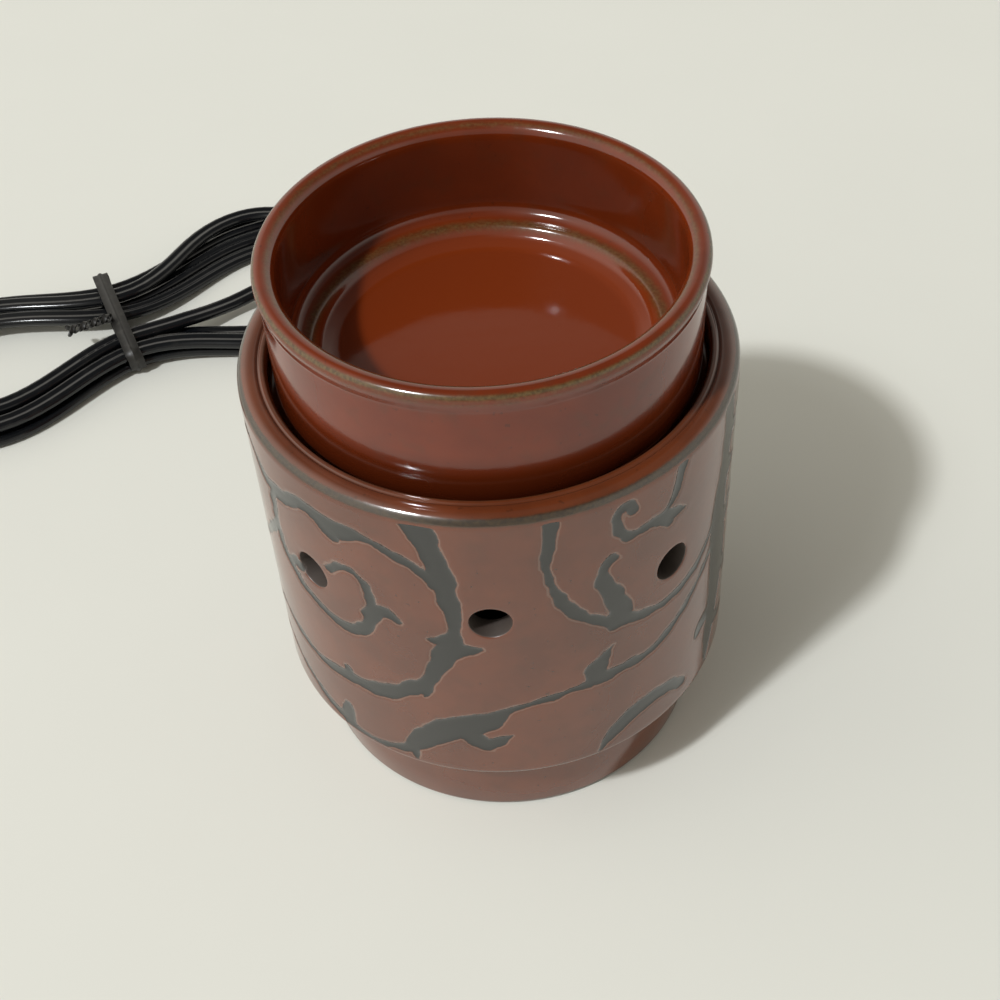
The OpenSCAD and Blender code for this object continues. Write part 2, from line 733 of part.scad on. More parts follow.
// Upper half of the switch, with the rocker's window and the pin's seats
module switch_cover() {
    inside_w = switch_w - 2 * switch_wall;
    color(black) at_switch() difference() {
        union() {
            difference() {
                translate([0, 0, switch_mid]) slab(switch_l, switch_w, switch_round, switch_h - switch_mid);
                translate([0, 0, switch_mid - 1])
                    slab(switch_l - 2 * switch_wall, inside_w, switch_round - switch_wall,
                         switch_h - switch_mid - switch_wall + 1);
            }
            for (s = [-1, 1]) translate([s * boss_x, s * boss_y, switch_mid])
                cylinder(r = boss_r, h = switch_h - switch_mid - switch_wall);
        }
        translate([0, 0, switch_h])
            cube([rocker_l + 2 * window_gap, rocker_w + 2 * run_gap, 3 * switch_wall], center = true);
        translate([0, 0, pivot_z]) rotate([90, 0, 0])
            cylinder(r = pin_r + pin_gap, h = inside_w + switch_wall, center = true);
        for (s = [-1, 1]) translate([s * boss_x, s * boss_y, switch_mid - 1])
            cylinder(r = thread_r + pin_gap, h = switch_h - switch_mid - switch_wall);
    }
}

// Rocker, tilted to its off stop
module switch_rocker() {
    half = rocker_l / 2;
    color([0.15, 0.15, 0.16]) at_switch() translate([0, 0, pivot_z]) rotate([0, -rocker_tilt, 0])
        rotate([90, 0, 0]) translate([0, 0, -rocker_w / 2]) difference() {
            linear_extrude(height = rocker_w) polygon([[-half, rocker_end], [0, rocker_dip],
                [half, rocker_end], [half, rocker_edge], [half / 2, -bridge_drop + 1],
                [contact_x / 2, -bridge_drop], [-contact_x / 2, -bridge_drop],
                [-half / 2, -bridge_drop + 1], [-half, rocker_edge]]);
            translate([0, 0, -1]) cylinder(r = pin_r + pin_gap, h = rocker_w + 2);
        }
}

module rocker_pin() {
    pin_l = switch_w - switch_wall - 2 * fit_gap;
    color(steel) at_switch() translate([0, 0, pivot_z]) rotate([90, 0, 0])
        cylinder(r = pin_r, h = pin_l, center = true);
}

// Brass strip under the rocker that joins the two contacts when it is pressed over
module contact_bridge() {
    color(brass) at_switch() translate([0, 0, pivot_z]) rotate([0, -rocker_tilt, 0])
        translate([0, 0, -bridge_drop - bridge_t / 2])
            cube([contact_x, rocker_w / 2, bridge_t], center = true);
}

// Two fixed contacts on the switch's floor
module switch_contacts() {
    top = pivot_z - bridge_drop - bridge_t - run_gap - contact_x / 2 * sin(rocker_tilt) - 0.6;
    color(brass) at_switch() for (s = [-1, 1]) {
        translate([s * contact_x - contact_foot / 2, -contact_foot / 2, switch_wall])
            cube([contact_foot, contact_foot, contact_t]);
        translate([s * contact_x, 0, switch_wall]) cylinder(r = contact_r, h = top - switch_wall);
    }
}

// Wire that runs straight through the switch
module switch_link() {
    half = switch_l / 2 - switch_wall - fit_gap;
    side = rocker_w / 2 + wire_d / 2 + 1;
    color([0.85, 0.85, 0.85]) at_switch() flat_tube(
        [[-half, 0, switch_mid], [-half + 5, 0, switch_mid], [-half + 13, -side, switch_mid - 2],
         [0, -side, switch_mid - 3], [half - 13, -side, switch_mid - 2], [half - 5, 0, switch_mid],
         [half, 0, switch_mid]], wire_d, wire_d, 8);
}

module switch_screws() {
    color(steel) at_switch() for (s = [-1, 1])
        translate([s * boss_x, s * boss_y, fit_gap + screw_head_h])
            slotted_screw(thread_r, switch_h - 2 * switch_wall - 2 - screw_head_h,
                          screw_head_r, screw_head_h);
}

// Moves a piece to the plug's front face, with its blades along X
module at_plug() {
    translate(cord_at + plug_back) rotate([0, 0, hank_turn]) translate([plug_l, 0, 0]) children();
}

// Point of a section with well rounded corners, w wide and t thick, at angle a
function soft_corner(a, w, t) =
    let (c = cos(a), d = sin(a)) [w / 2 * sign(c) * pow(abs(c), 0.55), t / 2 * sign(d) * pow(abs(d), 0.55)];

// Moulded plug that narrows to the cord
module plug_body() {
    points = [for (p = plug_sections) for (k = [0:plug_sides - 1])
        let (q = soft_corner(360 * (k + 0.5) / plug_sides, p[1], p[2])) [p[0], q[0], q[1]]];
    color(black) at_plug()
        polyhedron(points, [for (f = tube_faces(len(plug_sections), plug_sides)) [f[0], f[2], f[1]]]);
}

module plug_blades() {
    color(steel) at_plug() for (y = [-1, 1]) translate([0, y * blade_gap / 2 - blade_t / 2, 0])
        rotate([-90, 0, 0]) linear_extrude(height = blade_t) difference() {
            union() {
                translate([0, -blade_w / 2]) square([blade_l - blade_round, blade_w]);
                translate([0, -blade_w / 2 + blade_round]) square([blade_l, blade_w - 2 * blade_round]);
                for (z = [-1, 1])
                    translate([blade_l - blade_round, z * (blade_w / 2 - blade_round)])
                        circle(r = blade_round);
            }
            translate([blade_l - blade_hole_in, 0]) circle(d = blade_hole);
        }
}

warmer_body();
wax_dish();
base_plate();
base_screw();
base_washer();
foot_pads();
lamp_holder();
holder_gasket();
holder_ring();
screw_shell();
centre_contact();
terminal_screws();
ring_terminals();
live_wire();
neutral_wire();
inner_cord();
bulb_cap();
bulb_insulator();
bulb_tip();
bulb_glass();
bulb_stem();
bulb_leads();
filament();
strain_relief();
cord_lead();
cord_run();
cord_hank();
cord_tail();
cord_tie();
switch_base();
switch_cover();
switch_rocker();
rocker_pin();
switch_contacts();
contact_bridge();
switch_link();
switch_screws();
plug_body();
plug_blades();
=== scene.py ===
import json
import math

import bmesh
import bpy
import numpy as np
from mathutils import Matrix, Vector

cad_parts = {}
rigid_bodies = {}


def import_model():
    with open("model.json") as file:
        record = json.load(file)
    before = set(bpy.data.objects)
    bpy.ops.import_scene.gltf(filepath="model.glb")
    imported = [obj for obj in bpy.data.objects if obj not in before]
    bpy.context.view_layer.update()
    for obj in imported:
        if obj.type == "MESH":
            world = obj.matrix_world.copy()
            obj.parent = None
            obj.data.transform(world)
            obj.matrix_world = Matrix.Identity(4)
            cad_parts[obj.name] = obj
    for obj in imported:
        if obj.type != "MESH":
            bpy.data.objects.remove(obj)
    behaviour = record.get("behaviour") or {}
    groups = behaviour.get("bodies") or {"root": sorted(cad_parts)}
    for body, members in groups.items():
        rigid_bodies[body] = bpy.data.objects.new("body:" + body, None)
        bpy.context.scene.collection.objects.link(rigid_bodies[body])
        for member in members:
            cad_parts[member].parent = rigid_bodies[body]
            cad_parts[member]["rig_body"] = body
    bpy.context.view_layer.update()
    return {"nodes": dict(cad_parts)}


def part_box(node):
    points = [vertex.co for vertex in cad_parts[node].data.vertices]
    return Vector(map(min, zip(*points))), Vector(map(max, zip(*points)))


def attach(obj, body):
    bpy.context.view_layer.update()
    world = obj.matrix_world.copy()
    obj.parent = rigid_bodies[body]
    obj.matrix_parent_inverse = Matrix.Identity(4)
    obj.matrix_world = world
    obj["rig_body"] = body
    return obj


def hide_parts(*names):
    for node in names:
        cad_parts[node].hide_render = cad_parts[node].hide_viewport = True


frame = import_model()
nodes = frame["nodes"]
mm = 0.001
print("frame loaded with", len(nodes), "CAD nodes")


# Camera at the photograph's angle
cameraView = {
    "place": (0, -269.2, 340.5),  # mm
    "turn": 0.002,  # radians, to the right of straight ahead
    "dip": 0.803,  # radians below the horizon
    "roll": -0.066,  # radians
    "lens": 55.63,  # mm on a 36 mm sensor
}


def placeCamera(look):
    ahead = Vector((math.sin(look["turn"]) * math.cos(look["dip"]),
                    math.cos(look["turn"]) * math.cos(look["dip"]), -math.sin(look["dip"])))
    level = Vector((math.cos(look["turn"]), -math.sin(look["turn"]), 0))
    upward = level.cross(ahead)
    across = level * math.cos(look["roll"]) + upward * math.sin(look["roll"])
    top = upward * math.cos(look["roll"]) - level * math.sin(look["roll"])
    data = bpy.data.cameras.new("photoCamera")
    data.lens = look["lens"]
    data.sensor_width = 36
    camera = bpy.data.objects.new("photoCamera", data)
    turned = Matrix((across, top, -ahead)).transposed().to_4x4()
    camera.matrix_world = Matrix.Translation(Vector(look["place"]) * mm) @ turned
    bpy.context.scene.collection.objects.link(camera)
    bpy.context.scene.camera = camera


placeCamera(cameraView)
bpy.context.scene.view_settings.view_transform = "Standard"


# A node's socket that can stand in Python sums
class Wire:
    def __init__(self, tree, socket=None):
        self.tree = tree
        self.socket = socket

    # any node: its settings first, then the values or links of its sockets
    def add(self, kind, settings=None, sockets=None, out=0):
        node = self.tree.nodes.new(kind)
        for name, value in (settings or {}).items():
            setattr(node, name, value)
        for name, value in (sockets or {}).items():
            if isinstance(value, Wire):
                self.tree.links.new(value.socket, node.inputs[name])
            else:
                node.inputs[name].default_value = value
        return Wire(self.tree, node.outputs[out] if node.outputs else None)

    def sum(self, operation, first, second):
        return self.add("ShaderNodeMath", {"operation": operation}, {0: first, 1: second})

    def __add__(self, other):
        return self.sum("ADD", self, other)

    def __radd__(self, other):
        return self.sum("ADD", other, self)

    def __sub__(self, other):
        return self.sum("SUBTRACT", self, other)

    def __rsub__(self, other):
        return self.sum("SUBTRACT", other, self)

    def __mul__(self, other):
        return self.sum("MULTIPLY", self, other)

    def __rmul__(self, other):
        return self.sum("MULTIPLY", other, self)


def smoothStep(value, low, high):
    sockets = {"Value": value, "From Min": low, "From Max": high}
    return value.add("ShaderNodeMapRange", {"interpolation_type": "SMOOTHSTEP"}, sockets)


def blendColour(share, first, second):
    return share.add("ShaderNodeMix", {"data_type": "RGBA"}, {0: share, 6: first, 7: second}, out=2)


def grainNoise(place, size, detail=2.0, stretch=None):  # size in mm
    spot = place
    if stretch:
        spot = place.add("ShaderNodeVectorMath", {"operation": "MULTIPLY"}, {0: place, 1: stretch})
    return place.add("ShaderNodeTexNoise", {}, {"Vector": spot, "Scale": 1 / (size * mm), "Detail": detail})


def startFinish(name):
    material = bpy.data.materials.new(name)
    material.use_nodes = True
    material.node_tree.nodes.clear()
    wire = Wire(material.node_tree)
    return material, wire, wire.add("ShaderNodeTexCoord", out="Object")


def pointValue(wire, name):  # a value that is stored on the mesh's points
    return wire.add("ShaderNodeAttribute", {"attribute_name": name}, out="Fac")


def closeFinish(wire, sockets):
    shader = wire.add("ShaderNodeBsdfPrincipled", {}, sockets)
    wire.add("ShaderNodeOutputMaterial", {}, {"Surface": shader})


def rgb(red, green, blue):  # a colour as a picture shows it, 0 to 255
    def lin(c):
        c = c / 255
        return c / 12.92 if c <= 0.04045 else ((c + 0.055) / 1.055) ** 2.4
    return (lin(red), lin(green), lin(blue), 1)


# Mesh helpers
def makePiece(name, points, faces, body, finish, replaced=(), sharp=38):
    mesh = bpy.data.meshes.new(name)
    mesh.from_pydata([tuple(p) for p in points], [], [tuple(f) for f in faces])
    work = bmesh.new()
    work.from_mesh(mesh)
    bmesh.ops.recalc_face_normals(work, faces=work.faces)
    work.to_mesh(mesh)
    work.free()
    return addPiece(name, mesh, body, finish, replaced, sharp)


def addPiece(name, mesh, body, finish, replaced, sharp):
    mesh.shade_smooth()
    mesh.set_sharp_from_angle(angle=math.radians(sharp))
    mesh.materials.clear()
    mesh.materials.append(finish)
    piece = bpy.data.objects.new(name, mesh)
    bpy.context.scene.collection.objects.link(piece)
    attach(piece, body)
    if replaced:
        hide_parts(*replaced)
    return piece


def setAttribute(piece, name, values):
    attribute = piece.data.attributes.new(name, "FLOAT", "POINT")
    attribute.data.foreach_set("value", np.asarray(values, np.float32))


def unit(v):
    return v / np.linalg.norm(v, axis=-1, keepdims=True)


def smoothLine(points, steps):  # a curve through all the points
    p = np.asarray(points, float)
    p = np.vstack([2 * p[0] - p[1], p, 2 * p[-1] - p[-2]])
    t = (np.arange(steps) / steps)[:, None]
    spans = [0.5 * (2 * p[i] + (p[i + 1] - p[i - 1]) * t
                    + (2 * p[i - 1] - 5 * p[i] + 4 * p[i + 1] - p[i + 2]) * t ** 2
                    + (3 * p[i] - p[i - 1] - 3 * p[i + 1] + p[i + 2]) * t ** 3)
             for i in range(1, len(p) - 2)]
    return np.vstack(spans + [p[-2:-1]])


def roundedCorner(before, corner, after, radius, steps):
    back = unit(before - corner)
    ahead = unit(after - corner)
    half = math.acos(np.clip(back @ ahead, -1, 1)) / 2
    middle = corner + unit(back + ahead) * radius / math.sin(half)
    first = corner + back * radius / math.tan(half) - middle
    last = corner + ahead * radius / math.tan(half) - middle
    start = math.atan2(first[1], first[0])
    turn = (math.atan2(last[1], last[0]) - start + math.pi) % (2 * math.pi) - math.pi
    angles = start + turn * np.arange(steps + 1) / steps
    return middle + radius * np.stack([np.cos(angles), np.sin(angles)], 1)


# Turns corners (radius, height, rounding, thin) in mm into an outline, and says how thin the glaze is.
# Rounding and thin may be left out, and rows holds the heights of the points after a corner.
def roundOutline(corners, gap, closed, fade, rows=None, edges=()):
    corners = [(*c, 0, 0)[:4] for c in corners]
    spots = np.array([c[:2] for c in corners], float)
    count = len(corners)
    arcs = []
    for i, (_, _, rounding, _) in enumerate(corners):
        arc = spots[i:i + 1]
        if rounding > 0:
            cuts = max(2, min(6, round(3 * rounding)))  # a small corner needs few points
            arc = roundedCorner(spots[i - 1], spots[i], spots[(i + 1) % count], rounding, cuts)
        arcs.append(arc)
    outline = []
    marks = []
    for i, arc in enumerate(arcs):
        marks.append((len(outline) + len(arc) // 2, corners[i][3], fade))
        outline.extend(arc)
        if i == count - 1 and not closed:
            break
        start = arc[-1]
        step = arcs[(i + 1) % count][0] - start
        if rows and i in rows:
            share = (np.asarray(rows[i]) - start[1]) / step[1]
        else:
            cuts = max(1, math.ceil(np.linalg.norm(step) / gap))
            share = np.arange(1, cuts) / cuts
        outline.extend(start + step * s for s in share)
    outline = np.array(outline)
    along = np.concatenate([[0], np.cumsum(np.linalg.norm(np.diff(outline, axis=0), axis=1))])
    worn = np.zeros(len(outline))
    for r, z, thin, spread in edges:
        nearest = int(np.argmin(np.hypot(outline[:, 0] - r, outline[:, 1] - z)))
        marks.append((nearest, thin, spread))
    for place, thin, spread in marks:
        worn = np.maximum(worn, thin * np.exp(-((along - along[place]) / spread) ** 2))
    return outline, worn


def turnedPoints(outline, segments, start=0.0):  # rows of points round the Z axis, in mm
    angles = start + 2 * math.pi * np.arange(segments) / segments
    r = outline[:, :1]
    return np.stack([r * np.cos(angles), r * np.sin(angles), np.repeat(outline[:, 1:], segments, 1)], -1)


def gridFaces(rows, columns, closed):
    i = np.arange(rows if closed else rows - 1)[:, None]
    j = np.arange(columns)[None, :]
    following = (i + 1) % rows
    beside = (j + 1) % columns
    return np.stack([i * columns + j, i * columns + beside, following * columns + beside,
                     following * columns + j], -1)


# A turned piece whose outline starts and ends on its axis
def turnedPiece(name, corners, segments, gap, body, finish, replaced, tilt=None, edges=()):
    outline, worn = roundOutline(corners, gap, False, 1.0, edges=edges)
    ringed = outline[1:-1]
    points = turnedPoints(ringed, segments).reshape(-1, 3)
    faces = gridFaces(len(ringed), segments, False).reshape(-1, 4).tolist()
    last = len(ringed) * segments
    points = np.vstack([points, [[0, 0, outline[0][1]], [0, 0, outline[-1][1]]]])
    for j in range(segments):
        following = (j + 1) % segments
        faces.append((last, following, j))
        faces.append((last + 1, last - segments + j, last - segments + following))
    if tilt is not None:
        points = points @ tilt[0].T + tilt[1]
    piece = makePiece(name, points * mm, faces, body, finish, replaced)
    setAttribute(piece, "thin", np.concatenate([np.repeat(worn[1:-1], segments), worn[[0, -1]]]))
    return piece


# Carries a section of (across, lift) pairs along a path in mm, with level sides unless they are given
def sweep(path, section, sides=None):
    path = np.asarray(path, float)
    ahead = unit(np.gradient(path, axis=0))
    if sides is None:
        sides = unit(np.stack([-ahead[:, 1], ahead[:, 0], np.zeros(len(path))], 1))
    lift = unit(np.cross(ahead, sides))
    section = np.asarray(section, float)
    if section.ndim == 2:
        section = np.repeat(section[None], len(path), 0)
    rings = (path[:, None] + sides[:, None] * section[:, :, :1] + lift[:, None] * section[:, :, 1:])
    count = section.shape[1]
    faces = gridFaces(len(path), count, False).reshape(-1, 4).tolist()
    faces.append(tuple(range(count)))
    faces.append(tuple(range((len(path) - 1) * count, len(path) * count)))
    return rings.reshape(-1, 3), faces


def roundSection(radius, sides):
    angles = 2 * math.pi * np.arange(sides) / sides
    return radius * np.stack([np.cos(angles), np.sin(angles)], 1)


# Moulded finishes: plastics, rubber, fibre and wire cover, with grain and patches in mm
dustColour = rgb(120, 116, 108)


def moulded(name, dark, light, rough, grain=0.5, bump=0.12, patch=9, dust=0.12, ior=1.5):
    material, wire, place = startFinish(name)
    cloud = grainNoise(place, patch, 3)
    dusty = smoothStep(grainNoise(place, patch * 0.35, 5), 0.5, 0.78) * dust
    colour = blendColour(dusty, blendColour(cloud, rgb(*dark), rgb(*light)), dustColour)
    bumps = wire.add("ShaderNodeBump", {}, {"Strength": bump, "Distance": 0.15 * mm,
                                            "Height": grainNoise(place, grain, 3)})
    closeFinish(wire, {"Base Color": colour, "Roughness": cloud * 0.08 + dusty * 0.25 + rough,
                       "IOR": ior, "Normal": bumps})
    return material


cordVinyl = moulded("cordVinyl", (9, 10, 13), (16, 18, 21), rough=0.12, grain=0.7, bump=0.04, patch=14,
                    dust=0.03)
plugVinyl = moulded("plugVinyl", (19, 20, 22), (28, 29, 31), rough=0.34, grain=0.35, bump=0.2, patch=11,
                    dust=0.08)
tieVinyl = moulded("tieVinyl", (20, 19, 18), (33, 31, 28), rough=0.4, grain=0.4, bump=0.15, patch=6)
switchNylon = moulded("switchNylon", (22, 22, 24), (30, 30, 32), rough=0.42, grain=0.28, bump=0.3, patch=12)
rockerNylon = moulded("rockerNylon", (30, 30, 32), (38, 38, 40), rough=0.25, grain=0.4, bump=0.08, patch=8,
                      dust=0.06)
padRubber = moulded("padRubber", (38, 37, 36), (54, 52, 50), rough=0.72, grain=0.45, bump=0.35, patch=5,
                    dust=0.3)
plateEnamel = moulded("plateEnamel", (24, 24, 24), (34, 33, 32), rough=0.5, grain=0.55, bump=0.45, patch=20,
                      dust=0.2)
holderPhenolic = moulded("holderPhenolic", (30, 22, 17), (58, 42, 32), rough=0.3, grain=0.8, bump=0.1,
                         patch=3.5, dust=0.1)
gasketFibre = moulded("gasketFibre", (176, 164, 142), (206, 197, 178), rough=0.85, grain=0.3, bump=0.6,
                      patch=2.5, dust=0.15)
blackWire = moulded("blackWire", (18, 18, 19), (28, 28, 29), rough=0.35, bump=0.06, patch=8)
whiteWire = moulded("whiteWire", (206, 204, 198), (224, 222, 216), rough=0.35, bump=0.06, patch=8, dust=0.2)
lampInsulator = moulded("lampInsulator", (22, 20, 30), (40, 34, 50), rough=0.1, grain=0.6, bump=0.05,
                        patch=2.5, dust=0.0, ior=1.6)


# Metal finishes, with drawn lines along one axis and a little tarnish
def metal(name, bright, shade, tarnish, rough, stain, stretch=(1, 1, 0.12)):
    material, wire, place = startFinish(name)
    lines = grainNoise(place, 0.25, 2, stretch)
    stained = smoothStep(grainNoise(place, 3, 4), 0.48, 0.75)
    colour = blendColour(lines, rgb(*bright), rgb(*shade))
    colour = blendColour(stained * stain, colour, rgb(*tarnish))
    bumps = wire.add("ShaderNodeBump", {}, {"Strength": 0.12, "Distance": 0.05 * mm, "Height": lines})
    closeFinish(wire, {"Base Color": colour, "Metallic": 1.0, "Normal": bumps,
                       "Roughness": lines * 0.14 + stained * 0.15 + rough})
    return material


lampBrass = metal("lampBrass", (226, 196, 126), (192, 156, 88), (110, 82, 46), rough=0.2, stain=0.45,
                  stretch=(0.1, 0.1, 1))
bladeNickel = metal("bladeNickel", (214, 206, 190), (180, 172, 158), (120, 112, 100), rough=0.2, stain=0.3,
                    stretch=(0.15, 0.15, 1))
zincSteel = metal("zincSteel", (205, 205, 206), (160, 161, 164), (110, 104, 96), rough=0.24, stain=0.4)
tungstenWire = metal("tungstenWire", (120, 118, 116), (86, 85, 84), (60, 58, 56), rough=0.35, stain=0.3)


def glassFinish(name):
    material, wire, place = startFinish(name)
    haze = smoothStep(grainNoise(place, 16, 3), 0.45, 0.8)
    closeFinish(wire, {"Base Color": (0.97, 0.98, 0.98, 1), "Roughness": haze * 0.05 + 0.01, "IOR": 1.46,
                       "Transmission Weight": 1.0})
    return material


lampGlassClear = glassFinish("lampGlassClear")
print("moulded, metal and glass finishes made")


# Cord: a flat twin lead, laid as the CAD routes say, with its switch, tie and plug
cordShape = {
    "width": 6.4,
    "thick": 3.2,
    "valley": 1.12,  # half thickness between the two cores
    "exitHeight": 11,  # of the strain relief
    "switchLength": 62,
    "switchMiddle": 8,  # height of the switch's middle
    "layHeight": 1.8,  # of the cord's middle where it lies on the table
}
cordAt = np.array((0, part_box("strain_relief")[1].y / mm, 0))
switchNear = np.array((28, 62, 0))
switchFar = switchNear + (0, cordShape["switchLength"], 0)
leadRoute = [(0, 0, 11), (0, 8, 10.2), (2, 17, 7.4), (7, 25.5, 4), (13.5, 33, 2), (20.5, 40, 2.2),
             (26, 48, 4.6), (28, 56, 7.2), (28, 62, 8)]  # from the tip of the strain relief
runRoute = [(0, 0, 8), (0, 8, 7.2), (-1.5, 17.5, 4.6), (-6, 26, 2.4), (-13, 32.5, 1.8), (-22, 36.5, 1.8),
            (-32, 37.8, 1.8), (-41, 35.8, 1.8), (-55, 30.4, 1.8), (-69, 25, 1.8), (-83, 19.6, 1.8),
            (-97, 14.2, 1.8)]  # from the far end of the switch
hankShape = {
    "start": (-109.4, 10.2, 0),  # from the far end of the switch
    "turn": 21,  # degrees from the X axis
    "loops": 3.75,
    "half": 52,  # half length of the straight runs
    "fold": 21,  # radius of the innermost fold
    "waist": 15.5,  # how far the runs draw in at the tie
    "step": 8.4,  # between one loop and the next
    "layer": 4.0,  # rise of the upper loops over the lower ones
    "climb": 0.6,  # quarter turns in which they rise
    "tieLift": 1.2,  # by which the tie lifts the waist
    "swing": 17.5,  # mm by which the near fold of one upper loop lies across the lower ones
    "swungSize": 0.8,  # size of that fold
    "swungTurns": (2.5, 3.25),  # turns of the hank from which and to which it is swung
    "dip": 2.0,  # how far the loop sinks between the lower ones
    "dipUntil": 2.75,  # turns
    "dipAt": 34,  # mm along the hank
    "dipHalf": 18,
    "tail": 15,  # from the hank to the plug
    "rings": 96,  # in each loop
}
hankBack = math.floor(hankShape["loops"] / 2) + 1.125


def loopWidth(u):  # half width at the tie after u turns
    return hankShape["fold"] - hankShape["waist"] + hankShape["step"] * abs(hankBack - u)


def alongHank(s, t):
    a = math.radians(hankShape["turn"])
    return np.array((s * math.cos(a) - t * math.sin(a), s * math.sin(a) + t * math.cos(a), 0))


endAt = hankShape["half"] + cordShape["width"]
firstRun = loopWidth(0) + hankShape["waist"]
lastRun = -loopWidth(hankShape["loops"]) - hankShape["waist"]
hankAt = switchFar + hankShape["start"] - alongHank(endAt, firstRun)


def fromHank(s, t, z):  # mm along the hank, across it and up
    return hankAt + alongHank(s, t) + (0, 0, z)


def swell(x):  # a smooth hump from -1 to 1
    return (1 + math.cos(math.pi * max(-1, min(1, x)))) / 2


def hankHeight(u, s):
    climb = np.clip((u - hankBack) * 4 / hankShape["climb"] + 0.5, 0, 1)
    return (cordShape["layHeight"] + hankShape["layer"] * climb * climb * (3 - 2 * climb)
            + hankShape["tieLift"] * swell(s / hankShape["half"]))


def hankPoint(u):  # a point of the hank after u turns
    quarter = (u - math.floor(u)) * 4
    part = math.floor(quarter)
    g = quarter - part
    half = hankShape["half"]
    w = loopWidth(u)
    r = w + hankShape["waist"]
    s = half * (1 - 2 * g)
    run = w + hankShape["waist"] * (1 - math.cos(math.pi * s / half)) / 2
    a = math.pi * g
    s, t = [(s, run), (-half - r * math.sin(a), r * math.cos(a)),
            (-s, -run), (half + r * math.sin(a), -r * math.cos(a))][part]
    z = hankHeight(u, s)
    first, last = hankShape["swungTurns"]
    if first < u < last and s > 0:
        x = min(1, s / half)
        share = 2 * x * x if x < 0.5 else 1 - 2 * (1 - x) ** 2
        t = t * (1 + (hankShape["swungSize"] - 1) * share) + hankShape["swing"] * share
        if u < hankShape["dipUntil"]:
            z -= hankShape["dip"] * swell((s - hankShape["dipAt"]) / hankShape["dipHalf"])
        s = s if s < half else half + (s - half) * hankShape["swungSize"]
    return fromHank(s, t, z)


def twinSection(width, thick, valley, points=28):
    core = thick / 2
    a = 2 * math.pi * (np.arange(points) + 0.5) / points
    x = width / 2 * np.cos(a)
    lobe = np.sqrt(np.maximum(core ** 2 - (np.abs(x) - (width / 2 - core)) ** 2, 0))
    h = (lobe ** 6 + valley ** 6) ** (1 / 6)
    h = np.where(np.abs(x) > width / 2 - core, lobe, h)
    return np.stack([x, np.sign(np.sin(a)) * np.minimum(h, core)], 1)


section = twinSection(cordShape["width"], cordShape["thick"], cordShape["valley"])
reliefTuck = np.array((0, 4, 0))  # mm of the lead that lie inside the strain relief,
switchTuck = np.array((0, 3, 0))  # inside either end of the switch
plugTuck = 3  # and inside the plug
leadPath = cordAt + smoothLine([leadRoute[0] - reliefTuck, *leadRoute, switchTuck + leadRoute[-1]], 6)
hankRings = int(hankShape["rings"] * hankShape["loops"]) + 1
hankPath = [hankPoint(i / hankShape["rings"]) for i in range(hankRings)]
toHank = [switchFar + p for p in runRoute]
toHank.append(fromHank(endAt + cordShape["width"], firstRun, cordShape["layHeight"]))
plugHeight = (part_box("plug_body")[0].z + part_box("plug_body")[1].z) / 2 / mm
plugBack = fromHank(endAt + hankShape["tail"], lastRun, plugHeight)
tailAt = fromHank(endAt, lastRun, hankPath[-1][2])
toPlug = [tailAt + (plugBack - tailAt) * i / 3 for i in range(4)]
runPath = cordAt + np.vstack([
    smoothLine([toHank[0] - switchTuck, *toHank, hankPath[0]], 5)[:-1],
    hankPath,
    smoothLine([hankPath[-1], *toPlug, plugBack + alongHank(plugTuck, 0)], 4)[1:],
])


def cordPiece(name, path, replaced):
    points, faces = sweep(path, section)
    return makePiece(name, points * mm, faces, "base", cordVinyl, replaced, sharp=70)


def pathLength(path):
    return float(np.linalg.norm(np.diff(path, axis=0), axis=1).sum()) * mm


leadCord = cordPiece("leadCord", leadPath, ["cord_lead"])
mainCord = cordPiece("mainCord", runPath, ["cord_run", "cord_hank", "cord_tail"])
print("cords laid:", round(pathLength(leadPath), 3), "m and", round(pathLength(runPath), 3), "m")


# Strain relief: a tapered sleeve with soft ribs, turned about the cord's axis
reliefShape = {
    "flange": 5.2, "neck": 4.0, "root": 5.5, "tip": 4.0, "core": 3.5,  # radii
    "flangeThick": 2,
    "firstRib": 5, "lastRib": 3,  # plain lengths at the root and at the tip
    "ribs": 5, "groove": 1.3, "grooveFall": 0.08,
    "footInset": 7.5,  # its root stands just outside the foot
    "segments": 64,
}


def strainRelief(shape):
    low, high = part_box("strain_relief")
    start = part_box("warmer_body")[1].x / mm - shape["footInset"]
    back = low.y / mm
    end = high.y / mm
    neckAt = back + shape["flangeThick"]
    corners = [(0, back), (shape["flange"], back, 0.5), (shape["flange"], neckAt, 0.5),
               (shape["neck"], neckAt), (shape["neck"], start), (shape["root"], start, 0.7)]
    pitch = (end - start - shape["firstRib"] - shape["lastRib"]) / shape["ribs"]
    for i in range(shape["ribs"]):
        y = start + shape["firstRib"] + i * pitch
        grooveEnd = y + shape["groove"]
        taper = shape["root"] + (shape["tip"] - shape["root"]) * (y - start) / (end - start)
        corners += [(taper, y, 0.35), (shape["core"], y, 0.2), (shape["core"], grooveEnd, 0.2),
                    (taper - shape["grooveFall"], grooveEnd, 0.35)]
    corners += [(shape["tip"], end, 0.8), (0, end)]
    tilt = (np.array([[1, 0, 0], [0, 0, 1], [0, -1, 0]], float), np.array((0, 0, cordShape["exitHeight"])))
    return turnedPiece("strainRelief", corners, shape["segments"], 3, "base", plugVinyl,
                       ["strain_relief"], tilt)


relief = strainRelief(reliefShape)


